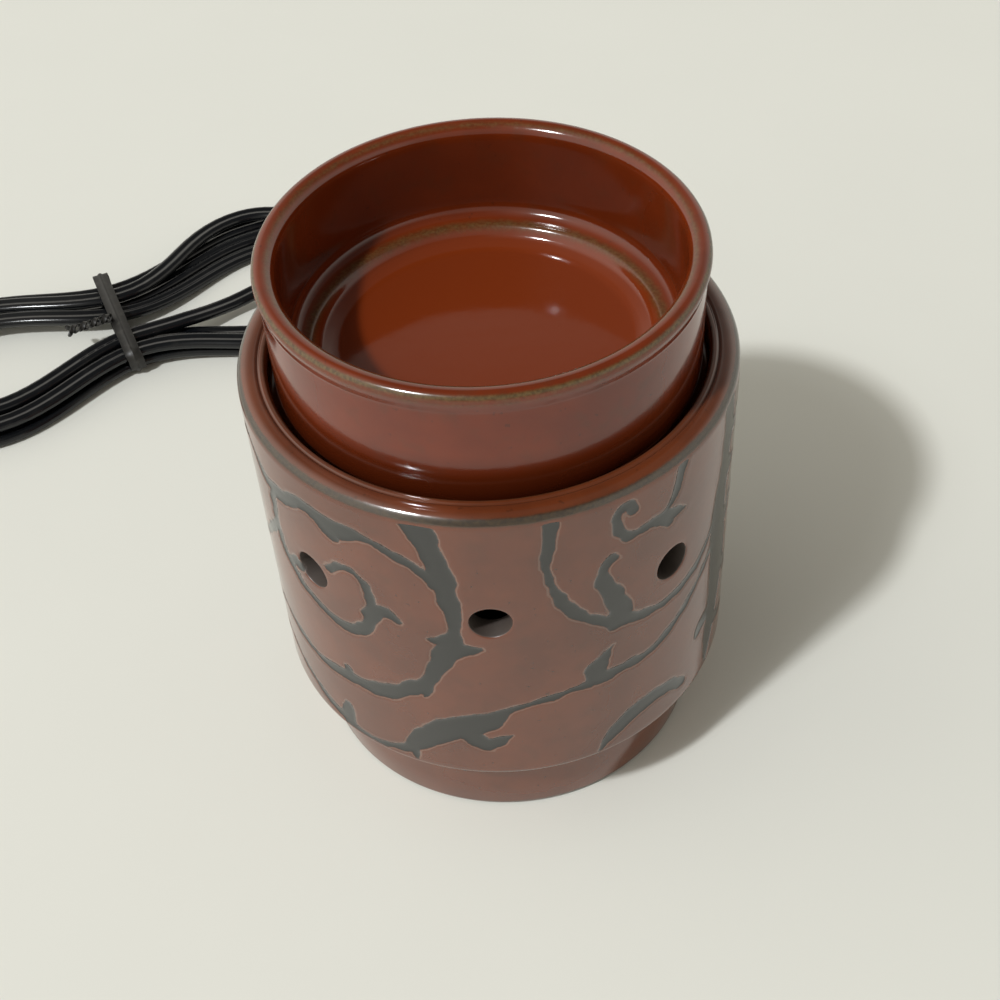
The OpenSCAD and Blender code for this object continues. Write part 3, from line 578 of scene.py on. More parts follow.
# Tie: a strip with a wire down its middle, round the waist of the hank, its ends twisted together
tieShape = {
    "width": 5.2, "thick": 0.7, "corner": 3.0,
    "bead": 0.55, "beadHalf": 0.9,  # the wire that shows through the strip
    "gap": 1.4,  # between the cord and the strip
    "under": 1.0, "over": 0.4,  # in from the bottom and the top of the CAD tie
    "back": 4,  # from the middle of the hank
    "sag": 0.35, "sagTurn": 9,  # mm and radians of its waviness
    "twist": 16, "pitch": 7.5,  # length and lay of the twisted ends
    "twistFrom": (-6, -2),  # along and across the hank
    "twistLift": 1.6, "twistDrop": 0.5,
    "twistWide": 0.75, "twistHigh": 0.9,
    "splay": 1.6, "splayFrom": 0.8,  # how the two ends part at their tips
    "strandHalf": 1.1, "strandThick": 0.25, "strandBead": 0.5,
}


def tieStrip(shape, low, high):
    slack = cordShape["width"] / 2 + shape["gap"]
    far = loopWidth(0.125) + slack
    near = loopWidth(0.625) + slack
    corners = np.array([(far, low), (far, high), (-near, high), (-near, low)])
    loop = np.vstack([roundedCorner(corners[i - 1], corners[i], corners[(i + 1) % 4], shape["corner"], 6)
                      for i in range(4)])
    sag = shape["sag"] * np.sin(np.linspace(0, shape["sagTurn"], len(loop)))
    ring = np.array([cordAt + fromHank(d - shape["back"], t, z) for (t, z), d in zip(loop, sag)])
    outward = np.array([alongHank(0, t - (far - near) / 2) + (0, 0, (z - (low + high) / 2) * 4)
                        for t, z in loop])
    ahead = unit(np.roll(ring, -1, 0) - np.roll(ring, 1, 0))
    side = np.repeat(alongHank(1, 0)[None], len(ring), 0)
    lift = unit(np.cross(ahead, side))
    lift = lift * np.sign((lift * outward).sum(1, keepdims=True))
    w = shape["width"] / 2
    face = shape["thick"] / 2
    bead = shape["beadHalf"]
    shoulder = face + shape["bead"] * 0.7
    strip = [(-w, -face), (w, -face), (w, face), (bead, face), (bead / 2, shoulder),
             (0, face + shape["bead"]), (-bead / 2, shoulder), (-bead, face), (-w, face)]
    rings = np.array([[p + s * x + l * y for x, y in strip] for p, s, l in zip(ring, side, lift)])
    return rings.reshape(-1, 3), gridFaces(len(ring), len(strip), True).reshape(-1, 4).tolist()


def tieStrand(shape, high, turn):
    share = np.linspace(0, 1, 40)
    angle = turn + 2 * math.pi * share * shape["twist"] / shape["pitch"]
    splay = shape["splay"] * np.clip((share - shape["splayFrom"]) / (1 - shape["splayFrom"]), 0, 1) ** 2
    s = shape["twistFrom"][0] - shape["twist"] * share
    t = shape["twistFrom"][1] + (shape["twistWide"] + splay) * np.cos(angle)
    z = high + shape["twistLift"] + shape["twistHigh"] * np.sin(angle) - shape["twistDrop"] * share
    path = [cordAt + fromHank(*spot) for spot in zip(s, t, z)]
    sides = np.array([alongHank(0, -math.sin(a)) + (0, 0, math.cos(a)) for a in angle])
    w = shape["strandHalf"]
    face = shape["strandThick"]
    return sweep(path, [(-w, -face), (w, -face), (w, face), (0, shape["strandBead"]), (-w, face)], sides)


def tieBand(shape):
    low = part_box("cord_tie")[0].z / mm + shape["under"]
    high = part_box("cord_tie")[1].z / mm - shape["over"]
    points, faces = tieStrip(shape, low, high)
    for turn in (0, math.pi):
        more, moreFaces = tieStrand(shape, high, turn)
        faces += [tuple(i + len(points) for i in f) for f in moreFaces]
        points = np.vstack([points, more])
    return makePiece("hankTie", points * mm, faces, "base", tieVinyl, ["cord_tie"], sharp=50)


hankTie = tieBand(tieShape)


# Plug: a moulded body that narrows to the cord, with soft grip ribs
plugShape = {
    "length": 34,
    "profile": [  # share of the length, width, thickness
        (0, 8.4, 6), (0.28, 9.4, 7), (0.42, 11.5, 8.6), (0.52, 17.706, 11.008), (0.6, 21.338, 12.288),
        (0.7, 22.7, 12.8), (0.9, 22.7, 12.8), (1, 22.7, 12.8),
    ],
    "grip": (0.04, 0.3),  # shares of the length that have ribs
    "ribs": 5, "ribDepth": 0.45,
    "edgeFrom": 0.965, "edgeInset": 1.1,  # rounding of the front edge
    "points": 48, "power": 0.55,  # of the cosine and sine, for squarish sides
}


def plugMoulding(shape):
    dense = smoothLine(shape["profile"], 12)
    along = np.clip(dense[:, 0], 0, 1)
    first, last = shape["grip"]
    wave = 0.5 - 0.5 * np.cos(2 * math.pi * (along - first) / (last - first) * shape["ribs"])
    nearEdge = np.clip((along - shape["edgeFrom"]) / (1 - shape["edgeFrom"]), 0, 1)
    inset = np.where((along > first) & (along < last), shape["ribDepth"] * wave, 0)
    inset = inset + shape["edgeInset"] * (1 - np.sqrt(1 - nearEdge ** 2))
    a = 2 * math.pi * (np.arange(shape["points"]) + 0.5) / shape["points"]
    across, upward = (np.sign(f) * np.abs(f) ** shape["power"] for f in (np.cos(a), np.sin(a)))
    shaped = np.stack([np.outer(dense[:, 1] / 2 - inset, across),
                       np.outer(dense[:, 2] / 2 - inset, upward)], -1)
    path = np.array([cordAt + plugBack + alongHank(shape["length"] * s, 0) for s in along])
    sides = np.repeat(alongHank(0, 1)[None], len(path), 0)
    keep = np.concatenate([[True], np.diff(along) > 1e-6])
    points, faces = sweep(path[keep], shaped[keep], sides[keep])
    return makePiece("plugMoulding", points * mm, faces, "base", plugVinyl, ["plug_body"],
                     sharp=45)


plugBody = plugMoulding(plugShape)
print("strain relief, tie and plug made")


# A CAD node's own shape with its hard edges softened, in a piece that stands for it
def softened(node, name, width, finish, slotName, cuts=2):
    work = bmesh.new()
    work.from_mesh(nodes[node].data)
    bmesh.ops.remove_doubles(work, verts=work.verts, dist=0.002 * mm)
    bmesh.ops.dissolve_limit(work, angle_limit=math.radians(0.6), verts=work.verts, edges=work.edges)
    hard = [e for e in work.edges if len(e.link_faces) == 2 and e.calc_face_angle(0) > math.radians(34)]
    bmesh.ops.bevel(work, geom=hard, offset=width * mm, segments=cuts, profile=0.5, affect="EDGES",
                    clamp_overlap=True)
    bmesh.ops.recalc_face_normals(work, faces=work.faces)
    mesh = bpy.data.meshes.new(name)
    work.to_mesh(mesh)
    work.free()
    return addPiece(name, mesh, nodes[node]["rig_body"], finish, [node], 38)


softNodes = {  # piece, mm of softening, finish, slot and cuts
    "switch_cover": ("switchTop", 1.1, switchNylon, "switch_plastic", 3),
    "switch_base": ("switchTray", 0.5, switchNylon, "switch_plastic"),
    "switch_rocker": ("switchKey", 0.5, rockerNylon, "rocker_plastic", 3),
    "plug_blades": ("plugBlades", 0.25, bladeNickel, "brass"),
    "lamp_holder": ("lampSocket", 0.5, holderPhenolic, "holder_phenolic"),
    "holder_ring": ("socketRing", 0.4, holderPhenolic, "holder_phenolic"),
    "base_plate": ("footPlate", 0.4, plateEnamel, "base_black"),
    "foot_pads": ("footPads", 0.7, padRubber, "pad_rubber", 3),
    "base_screw": ("plateScrew", 0.2, zincSteel, "zinc_steel"),
}
softPieces = {node: softened(node, *look) for node, look in softNodes.items()}

plainNodes = {
    "base_washer": zincSteel, "holder_gasket": gasketFibre, "screw_shell": lampBrass,
    "centre_contact": lampBrass, "terminal_screws": zincSteel, "ring_terminals": lampBrass,
    "live_wire": blackWire, "neutral_wire": whiteWire, "inner_cord": cordVinyl,
    "bulb_insulator": lampInsulator, "bulb_tip": zincSteel, "bulb_stem": lampGlassClear,
    "bulb_leads": zincSteel, "rocker_pin": zincSteel, "switch_contacts": lampBrass,
    "contact_bridge": lampBrass, "switch_link": whiteWire, "switch_screws": zincSteel,
}
for nodeName, finish in plainNodes.items():
    nodes[nodeName].data.materials.clear()
    nodes[nodeName].data.materials.append(finish)

pathLength(leadPath)
pathLength(runPath)


# Glaze: red-brown, broken to olive where it runs thin on edges, with a dark vine on the body
glazeLook = {
    "body": {
        "red": (0.137, 0.033, 0.0105, 1), "deep": (0.102, 0.0245, 0.008, 1),
        "olive": (0.024, 0.014, 0.007, 1), "gold": (0.046, 0.028, 0.012, 1),
        "shine": 1.8,  # index of the glaze
        "scuff": 0.2,
    },
    "dish": {
        "red": (0.155, 0.0225, 0.0042, 1), "deep": (0.122, 0.0175, 0.0036, 1),
        "olive": (0.066, 0.037, 0.012, 1), "gold": (0.115, 0.068, 0.024, 1),
        "shine": 1.58,
        "scuff": 0.25,
    },
    "floorLightColour": (0.19, 0.029, 0.005, 1),  # painted light: a lighter red on the dish's floor, where the lamp falls on it
    "run": (0.06, 0.0095, 0.0022, 1),  # painted shade: darker low on the dish's outer wall, by the body's rim, and on its inner wall
    "spot": (0.03, 0.012, 0.006, 1),
    "rubbed": (0.07, 0.026, 0.011, 1),  # faint handling marks
    "vine": (0.003, 0.003, 0.0025, 1),
    "vineGrey": (0.008, 0.008, 0.007, 1),
    # painted highlight: a pale line along the glaze where it ends at the vine
    "bead": (0.30, 0.235, 0.19, 1),
    "clay": (0.062, 0.043, 0.032, 1),  # unglazed inside and in the vents
    "clayDark": (0.036, 0.024, 0.018, 1),
    "rough": 0.07,
    "edgeHeight": 0.14,  # mm, how far the glaze stands up at the vine
    "cloud": 17, "ripple": 6, "rub": 5, "grain": 2.2, "speck": 1.5, "fine": 0.7,  # mm, sizes of its mottling
}


def glazeFinish(name, part, look, hasVine):
    material, wire, place = startFinish(name)
    thin = pointValue(wire, "thin")
    cloud = grainNoise(place, look["cloud"], 3)
    grain = grainNoise(place, look["grain"], 4)
    fine = grainNoise(place, look["fine"], 2)
    spots = smoothStep(grainNoise(place, look["speck"], 1), 0.73, 0.77)
    rubbed = smoothStep(grainNoise(place, look["rub"], 6), 0.5, 0.72) * look[part]["scuff"]
    colour = blendColour(smoothStep(cloud, 0.32, 0.68), look[part]["deep"], look[part]["red"])
    colour = blendColour(rubbed, colour, look["rubbed"])
    colour = blendColour(spots * 0.4, colour, look["spot"])
    worn = smoothStep(thin + (grain - 0.5) * 0.35 + (fine - 0.5) * 0.12, 0.2, 0.85)
    rough = grain * 0.05 + rubbed * 0.15 + worn * 0.12 + look["rough"]
    ripple = grainNoise(place, look["ripple"], 2)
    bump = wire.add("ShaderNodeBump", {}, {"Strength": 0.3, "Distance": 0.12 * mm, "Height": ripple})
    if hasVine:
        edge = pointValue(wire, "vine") + (fine - 0.5) * 0.35
        vine = 1 - smoothStep(edge, -0.1, 0.1)
        # painted highlight: a pale line painted on the glaze's edge at the vine
        bead = smoothStep(edge, 0.05, 0.2) * (1 - smoothStep(edge, 0.2, 0.6))
        colour = blendColour(bead * 0.3, colour, look["bead"])
        dark = blendColour(grain, look["vine"], look["vineGrey"])
        colour = blendColour(vine, colour, dark)
        rough = rough + vine * 0.08
        step = smoothStep(edge, -0.4, 0.45)
        bump = wire.add("ShaderNodeBump", {}, {"Strength": 1.0, "Distance": look["edgeHeight"] * mm,
                                               "Height": step, "Normal": bump})
        bare = pointValue(wire, "bare")
        colour = blendColour(bare, colour, blendColour(grain, look["clay"], look["clayDark"]))
        rough = rough + bare * 0.6
    else:
        # painted light: the dish's floor and ledge are lightened where the lamp falls on them
        colour = blendColour(pointValue(wire, "floorLight"), colour, look["floorLightColour"])
        # painted shade, low on the dish's outer wall and on its inner wall
        colour = blendColour(pointValue(wire, "run"), colour, look["run"])
    edgeColour = blendColour(smoothStep(fine, 0.3, 0.7), look[part]["olive"], look[part]["gold"])
    colour = blendColour(worn, colour, edgeColour)
    closeFinish(wire, {"Base Color": colour, "Roughness": rough, "IOR": look[part]["shine"], "Normal": bump})
    return material


bodyGlaze = glazeFinish("bodyGlaze", "body", glazeLook, True)
dishGlaze = glazeFinish("dishGlaze", "dish", glazeLook, False)

# Vine on the body: strokes of (degrees right of the front, height, half width) in mm
vineStrokes = {
    "wideRibbon": [(-19.6, 116, 3.4), (-16.8, 109, 3.2), (-14.6, 103, 2.4), (-13, 97, 2.5),
                   (-12.4, 91, 2.6), (-11.9, 86, 2.1), (-11.4, 82, 1.6), (-11.3, 79, 1.4),
                   (-12.2, 75.5, 2.4), (-14.2, 70.5, 2.9), (-17, 64, 2.3), (-19.5, 59, 2.1),
                   (-24.5, 54.5, 2.2), (-29.5, 51.5, 2.4), (-35, 49.7, 2.3), (-41, 49.2, 2.0),
                   (-46.5, 48.3, 1.5), (-52, 47.5, 1.2), (-57, 48, 1.1), (-62, 49, 1.0), (-70, 51, 0.9)],
    "ribbonSpurLeft": [(-12.6, 75.5, 2.6), (-15, 75.2, 1.8), (-17.2, 75.4, 0.9)],
    "ribbonSpurRight": [(-12.6, 72, 3.0), (-10, 72.8, 2.1), (-7.6, 73.2, 1.1), (-5.6, 73.4, 0.3)],
    "ribbonSpurLow": [(-19, 59, 1.8), (-19.6, 55.5, 1.2), (-20.3, 53.4, 0.4)],
    "ribbonBump": [(-41, 49.5, 1.6), (-41.8, 52.2, 0.8)],
    "topTendril": [(-72, 107, 0.9), (-67, 103, 1.2), (-61.5, 100, 2.1), (-56, 101, 2.1), (-48, 103.8, 1.7),
                   (-42, 103.6, 2.3), (-36.5, 102.9, 2.7), (-32.5, 103.9, 1.8), (-28, 103.3, 1.2),
                   (-23, 101, 1.2), (-19, 98.5, 1.2), (-14, 93.5, 1.7)],
    "tendrilSpur": [(-42, 103, 2.4), (-40.2, 100.2, 1.8), (-38.2, 99.4, 1.0)],
    "innerCurl": [(-60.5, 99, 1.5), (-61.8, 88, 1.2), (-59.5, 79, 1.2), (-54.5, 74, 1.2), (-49, 71.2, 1.1),
                  (-43.5, 69.6, 1.3), (-39, 69.3, 1.6), (-34.6, 71.6, 1.8), (-31.9, 77, 1.8),
                  (-31, 83.5, 1.4), (-32.3, 88.3, 1.1), (-35.5, 90.8, 1.0), (-39, 90, 1.4),
                  (-41.8, 87.6, 1.5)],
    "curlLeaf": [(-32, 77.3, 2.0), (-29.4, 80.4, 2.0), (-26.6, 80.8, 1.6), (-24.4, 78.8, 0.9)],
    "curlBranch": [(-58, 78, 1.2), (-55, 80.5, 1.3), (-53, 79, 0.8)],
    "lowStem": [(-72, 38, 0.8), (-64, 35, 0.8), (-56, 32, 0.9), (-49.5, 29.5, 1.2), (-45, 28.2, 1.4),
                (-40.5, 27.2, 1.1), (-34, 27.6, 1.0), (-27.5, 30, 1.5), (-22.5, 35.5, 3.1), (-17, 41, 4.1),
                (-11, 44, 3.8), (-5.5, 46.5, 3.1), (-1.5, 50, 1.6), (2.5, 51.7, 1.2), (9, 53.3, 1.0),
                (15, 54.7, 1.0), (20, 55, 1.5), (24, 55.5, 1.8), (28, 55.8, 1.5), (34, 55.6, 1.2),
                (40, 58, 1.1), (46, 61.5, 1.0), (52, 66, 1.0), (59, 72, 1.0), (65, 80, 1.2)],
    "stemThorn": [(-45.3, 28.5, 2.2), (-44.6, 32.5, 2.0), (-44.2, 36, 1.3)],
    "stemTip": [(-25, 31.5, 1.8), (-24.5, 26.5, 0.4)],
    "leafLobe": [(-11, 42, 3.0), (-8.6, 39, 2.7), (-6, 37.6, 1.9), (-3.2, 38.8, 1.5), (-0.4, 40.6, 0.6)],
    "leafLobeLow": [(-9, 39, 2.4), (-6.8, 36.2, 1.5), (-5, 35.2, 0.5)],
    "bud": [(20.8, 55.2, 2.0), (20.1, 58.6, 2.9), (21.4, 61.6, 2.0), (23.4, 64.3, 1.1), (24.8, 65.8, 0.3)],
    "rightRibbon": [(11, 115, 1.8), (10, 108, 1.4), (9.4, 102.5, 1.3), (9.3, 98.5, 0.9), (9.8, 94.5, 1.3),
                    (11.4, 88.8, 1.3), (14.6, 82.8, 1.3), (19, 77.9, 1.4), (24.3, 74.3, 1.8),
                    (29.5, 72, 1.8), (35, 70.8, 1.3), (41, 70.3, 1.1), (47, 71.4, 1.0), (53, 74, 1.0),
                    (59, 80, 1.0), (63, 91, 1.2), (65, 104, 1.4)],
    "thornLeaf": [(26, 74, 3.0), (26.3, 78, 3.2), (24.4, 83.5, 2.5), (22.2, 88.5, 1.9), (22, 92.6, 1.6),
                  (24, 95, 1.3), (26.2, 94.6, 0.6)],
    "smallCurl": [(29.6, 107.3, 1.3), (28.2, 109.4, 1.5), (25.8, 108.8, 1.2), (24.9, 106, 1.2),
                  (26, 102.7, 1.3), (29, 99.8, 1.3), (32.7, 99.7, 1.3), (36.6, 99.8, 1.8), (40, 98.8, 2.0),
                  (43, 98.2, 1.3), (44.8, 97.4, 0.6)],
    "curlLeafLow": [(38, 99.3, 1.7), (39.6, 96.6, 1.2), (41, 95.4, 0.5)],
    "curlStem": [(36.5, 99.8, 1.2), (39.5, 101.8, 1.1), (42, 105, 1.2), (43.4, 110, 1.4), (44, 115, 1.4)],
    "crescent": [(21, 26, 0.6), (24.3, 31, 1.7), (28, 34, 2.5), (33, 36.3, 2.9), (38.5, 36.8, 2.5),
                 (43.5, 35.2, 2.1), (48, 32, 1.5)],
    "sideVine": [(65, 117, 3.2), (66.2, 110, 3.4), (67, 103, 4.2), (65.8, 94, 3.4), (63.9, 86, 4.3),
                 (63.3, 78, 5.2), (64.4, 70, 5.4), (65.2, 62, 5.9), (64.6, 50, 5.0), (62.6, 40, 3.6),
                 (61.4, 33, 2.2), (61, 27, 0.8)],
    "sideLeaf": [(60, 47, 2.4), (55.8, 46.5, 2.3), (54.2, 44.4, 1.2)],
    "sideSpurHigh": [(67, 92, 2.8), (71, 88.6, 2.2), (74.6, 88.4, 0.6)],
    "sideSpurMid": [(68, 72, 3.0), (73, 75.8, 2.4), (76.6, 75.4, 0.7)],
    "sideStemTop": [(67, 104, 2.6), (74, 98.8, 1.6), (83, 97.6, 1.2), (92, 100.8, 1.2), (100, 105.4, 1.1),
                    (108, 107, 0.9)],
    "sideCurl": [(78, 97.8, 1.2), (75.6, 103, 1.1), (77, 108.8, 1.2), (82, 110.6, 1.5), (86, 107.8, 1.6),
                 (86.2, 104.2, 0.9)],
    "sideStemMid": [(67, 58, 3.0), (74, 51.5, 1.9), (84, 47.5, 1.4), (94, 47, 1.2), (103, 49, 1.0),
                    (110, 51, 0.9)],
    "sideBud": [(86, 47.5, 2.2), (88.6, 52.5, 2.8), (87.4, 57.6, 1.9), (84.8, 61.4, 0.5)],
    "sideStemLow": [(63, 40, 2.2), (72, 35.4, 1.5), (82, 33.4, 1.2), (92, 34.6, 1.0), (101, 37.4, 0.9),
                    (108, 38.2, 0.8)],
    "sideThorn": [(93, 35, 1.8), (95.6, 39, 1.6), (99, 41, 0.4)],
    "sideSprig": [(118, 87, 1.2), (111, 78.6, 1.2), (104.6, 73, 1.4), (98.4, 71, 1.8), (94, 72.8, 1.5),
                  (92.6, 75.2, 0.6)],
}
bodyShape = {
    "segments": 464,
    "rowGap": 0.85,  # mm between the wall's rows of points
    "footInset": 7.6,  # how far in from the wall: the foot's outside
    "footInside": 12.6,  # its inside
    "plateInset": 11,  # the recess for the base plate
    "wall": 5.5,  # the chamber
    "seatInset": 14,  # the inner edge of the dish's seat
    "plateHeight": 5,
    "wallEdge": 24.5,  # height of the wall's lower edge
    "floorTop": 30,
    "floorHole": 12.9,  # radius, for the lamp holder
    "seatDrop": 7.8,  # below the rim: the seat
    "seatUnder": 13.8,  # its underside
    "seatRoot": 18.05,  # where that meets the chamber's wall
    "rimRound": 3.2,
    "lip": [  # inset, drop, rounding, thin glaze
        (4.5, 0, 1.0), (4.9, 0.8, 0.25, 0.3), (5.4, 0.45, 0.3, 0.2), (6.2, 0.35, 0.5, 0.45), (7.0, 1.7, 0.9),
        (6.5, 7.8, 0.8),
    ],
    "rimWear": [(0.95, 0.95, 0.8, 0.6), (0.4, 1.7, 1.0, 0.8)],  # inset, drop, thin glaze, spread
    "lowRows": [58, 44],  # heights of two more rows inside the chamber
    "ventDrop": 32.5,  # below the rim
    "ventTurn": -93.4,  # degrees of the first vent from the X axis
    "vents": 8,
    "ventRadius": 4.7,
    "ventLip": 0.5,
    "windowColumns": 9,  # half width and half height of the patch round a vent, in columns and rows
    "windowRows": 8,
    "vineReach": 6.0,  # mm from a stroke within which it counts
    "vineMargin": 1.2,  # from the wall's edges, where the relief fades out
    "vineFade": 1.6,
    "ragged": [(3.4, 1.1), (1.7, 0.5)],  # mm, size and depth of its edge's unevenness
    "recess": 0.22,  # depth of the vine in the glaze
    "recessSlope": 0.9,
    "bead": 0.05,  # height of the glaze where it ends at the vine
    "beadAt": 0.75,
    "beadHalf": 0.5,
    "repeats": (0, 180),  # degrees by which the vine is repeated round the back
}


def lattice(u, v, size, around):  # smooth noise from 0 to 1, which closes round the body
    cells = round(around / size)
    x = u / around * cells
    y = v / size
    i = np.floor(x)
    j = np.floor(y)
    fx = (x - i) ** 2 * (3 - 2 * (x - i))
    fy = (y - j) ** 2 * (3 - 2 * (y - j))

    def corner(a, b):  # a repeatable scatter
        mixed = np.sin(np.mod(a, cells) * 12.9898 + b * 78.233 + cells) * 43758.5453
        return mixed - np.floor(mixed)

    low = corner(i, j) * (1 - fx) + corner(i + 1, j) * fx
    high = corner(i, j + 1) * (1 - fx) + corner(i + 1, j + 1) * fx
    return low * (1 - fy) + high * fy


def strokeDistance(stroke, shift, theta, height, radius, nearest):
    line = smoothLine(stroke, 7)
    middle = line[:, 0].mean()
    perDegree = math.radians(1) * radius
    across = ((theta - shift - middle + 180) % 360 - 180) * perDegree
    line = np.stack([(line[:, 0] - middle) * perDegree, line[:, 1], np.maximum(line[:, 2], 0.05)], 1)
    low = line[:, :2].min(0) - bodyShape["vineReach"]
    high = line[:, :2].max(0) + bodyShape["vineReach"]
    near = np.flatnonzero((across > low[0]) & (across < high[0]) & (height > low[1]) & (height < high[1]))
    spot = np.stack([across[near], height[near]], 1)
    for a, b in zip(line[:-1], line[1:]):
        step = b[:2] - a[:2]
        t = np.clip(((spot - a[:2]) @ step) / max(step @ step, 1e-9), 0, 1)
        gap = np.linalg.norm(spot - a[:2] - t[:, None] * step, axis=1) - (a[2] + (b[2] - a[2]) * t)
        nearest[near] = np.minimum(nearest[near], gap)


def vineField(theta, height, radius):  # mm to the edge of the vine, below 0 inside it
    nearest = np.full(len(theta), bodyShape["vineReach"])
    for shift in bodyShape["repeats"]:
        for stroke in vineStrokes.values():
            strokeDistance(stroke, shift, theta, height, radius, nearest)
    around = 2 * math.pi * radius
    u = np.mod(np.radians(theta) * radius, around)
    for size, depth in bodyShape["ragged"]:
        nearest += (lattice(u, height, size, around) - 0.5) * depth
    return nearest


def sinkVine(shape, points, outside, radius, top):  # moves the points and returns each one's vine field
    vine = np.full(len(points), shape["vineReach"])
    theta = np.degrees(np.arctan2(points[:, 0], -points[:, 1]))
    z = points[:, 2]
    vine[outside] = vineField(theta[outside], z[outside], radius)
    fade = np.clip((top - shape["vineMargin"] - z) / shape["vineFade"], 0, 1)
    fade = fade * np.clip((z - shape["wallEdge"] - shape["vineMargin"]) / shape["vineFade"], 0, 1)
    inside = np.clip(0.5 - vine / shape["recessSlope"], 0, 1)
    inside = inside * inside * (3 - 2 * inside)
    bead = np.exp(-((vine - shape["beadAt"]) / shape["beadHalf"]) ** 2)
    inward = (inside * shape["recess"] - bead * shape["bead"]) * fade
    points[:, :2] -= unit(points[:, :2]) * inward[:, None]
    return vine


# Rings of points from the patch's edge on the outside, over the lip, through the wall and out inside
def ventLoops(shape, radius, da, db, angle, ventZ):
    columnTurn = 2 * math.pi / shape["segments"]
    rise = db * shape["rowGap"]
    bearing = np.arctan2(rise, da * columnTurn * radius)
    hole = shape["ventRadius"]
    lip = shape["ventLip"]

    def spot(surface, lateral, height, depth):
        out = np.sqrt(surface ** 2 - lateral ** 2) + depth
        return np.stack([out * math.cos(angle) - lateral * math.sin(angle),
                         out * math.sin(angle) + lateral * math.cos(angle), ventZ + height], 1)

    def side(surface, sign, isOut):
        edge = surface * np.sin(da * columnTurn)
        for share in (0.55, 1.0):
            lateral = edge + ((hole + lip) * np.cos(bearing) - edge) * share
            height = rise + ((hole + lip) * np.sin(bearing) - rise) * share
            yield spot(surface, lateral, height, 0), isOut, float(isOut)
        for turn in (22.5, 45, 67.5, 90):
            wide = hole + lip * (1 - math.sin(math.radians(turn)))
            depth = sign * lip * (1 - math.cos(math.radians(turn)))
            yield (spot(surface, wide * np.cos(bearing), wide * np.sin(bearing), depth), isOut,
                   float(isOut) * (turn < 60))
    outer = list(side(radius, -1, True))
    inner = list(side(radius - shape["wall"], 1, False))
    return outer + inner[::-1]


def bodyOutline(shape, radius, top, foot):
    edge = shape["wallEdge"]
    footOut = radius - shape["footInset"]
    footIn = radius - shape["footInside"]
    plate = radius - shape["plateInset"]
    chamber = radius - shape["wall"]
    seat = radius - shape["seatInset"]
    outer = [(plate, foot, 0.5), (footOut, foot, 1.0, 0.3), (footOut, edge, 1.2), (radius, edge, 2.2, 0.15)]
    rim = [(radius, top, shape["rimRound"])]
    rim += [(radius - inset, top - drop, *soft) for inset, drop, *soft in shape["lip"]]
    inner = [(seat, top - shape["seatDrop"], 0.8, 0.4), (seat, top - shape["seatUnder"], 0.8),
             (chamber, top - shape["seatRoot"], 1.5), (chamber, shape["floorTop"], 4.0),
             (shape["floorHole"], shape["floorTop"], 0.4, 0.3), (shape["floorHole"], edge, 0.3),
             (footIn, edge, 1.0), (footIn, shape["plateHeight"], 0.2), (plate, shape["plateHeight"], 0.2)]
    ventZ = top - shape["ventDrop"]
    wallRows = ventZ + shape["rowGap"] * np.arange(-100, 60)
    wallRows = wallRows[(wallRows > edge + 2.6) & (wallRows < top - shape["rimRound"] - 0.3)]
    patch = ventZ + shape["rowGap"] * np.arange(shape["windowRows"], -shape["windowRows"] - 1, -1)
    wallAt = len(outer) - 1
    chamberAt = len(outer) + len(rim) + 2
    rows = {wallAt: wallRows, chamberAt: [*patch, *shape["lowRows"]]}
    wear = [(radius - inset, top - drop, *rest) for inset, drop, *rest in shape["rimWear"]]
    return roundOutline(outer + rim + inner, 9, True, 0.75, rows, wear)


# Steps in columns and rows round the edge of the patch that a vent takes up
def patchRing(a, b):
    ring = ([(i, -b) for i in range(-a, a)] + [(a, i) for i in range(-b, b)]
            + [(i, b) for i in range(a, -a, -1)] + [(-a, i) for i in range(b, -b, -1)])
    return np.array(ring).T


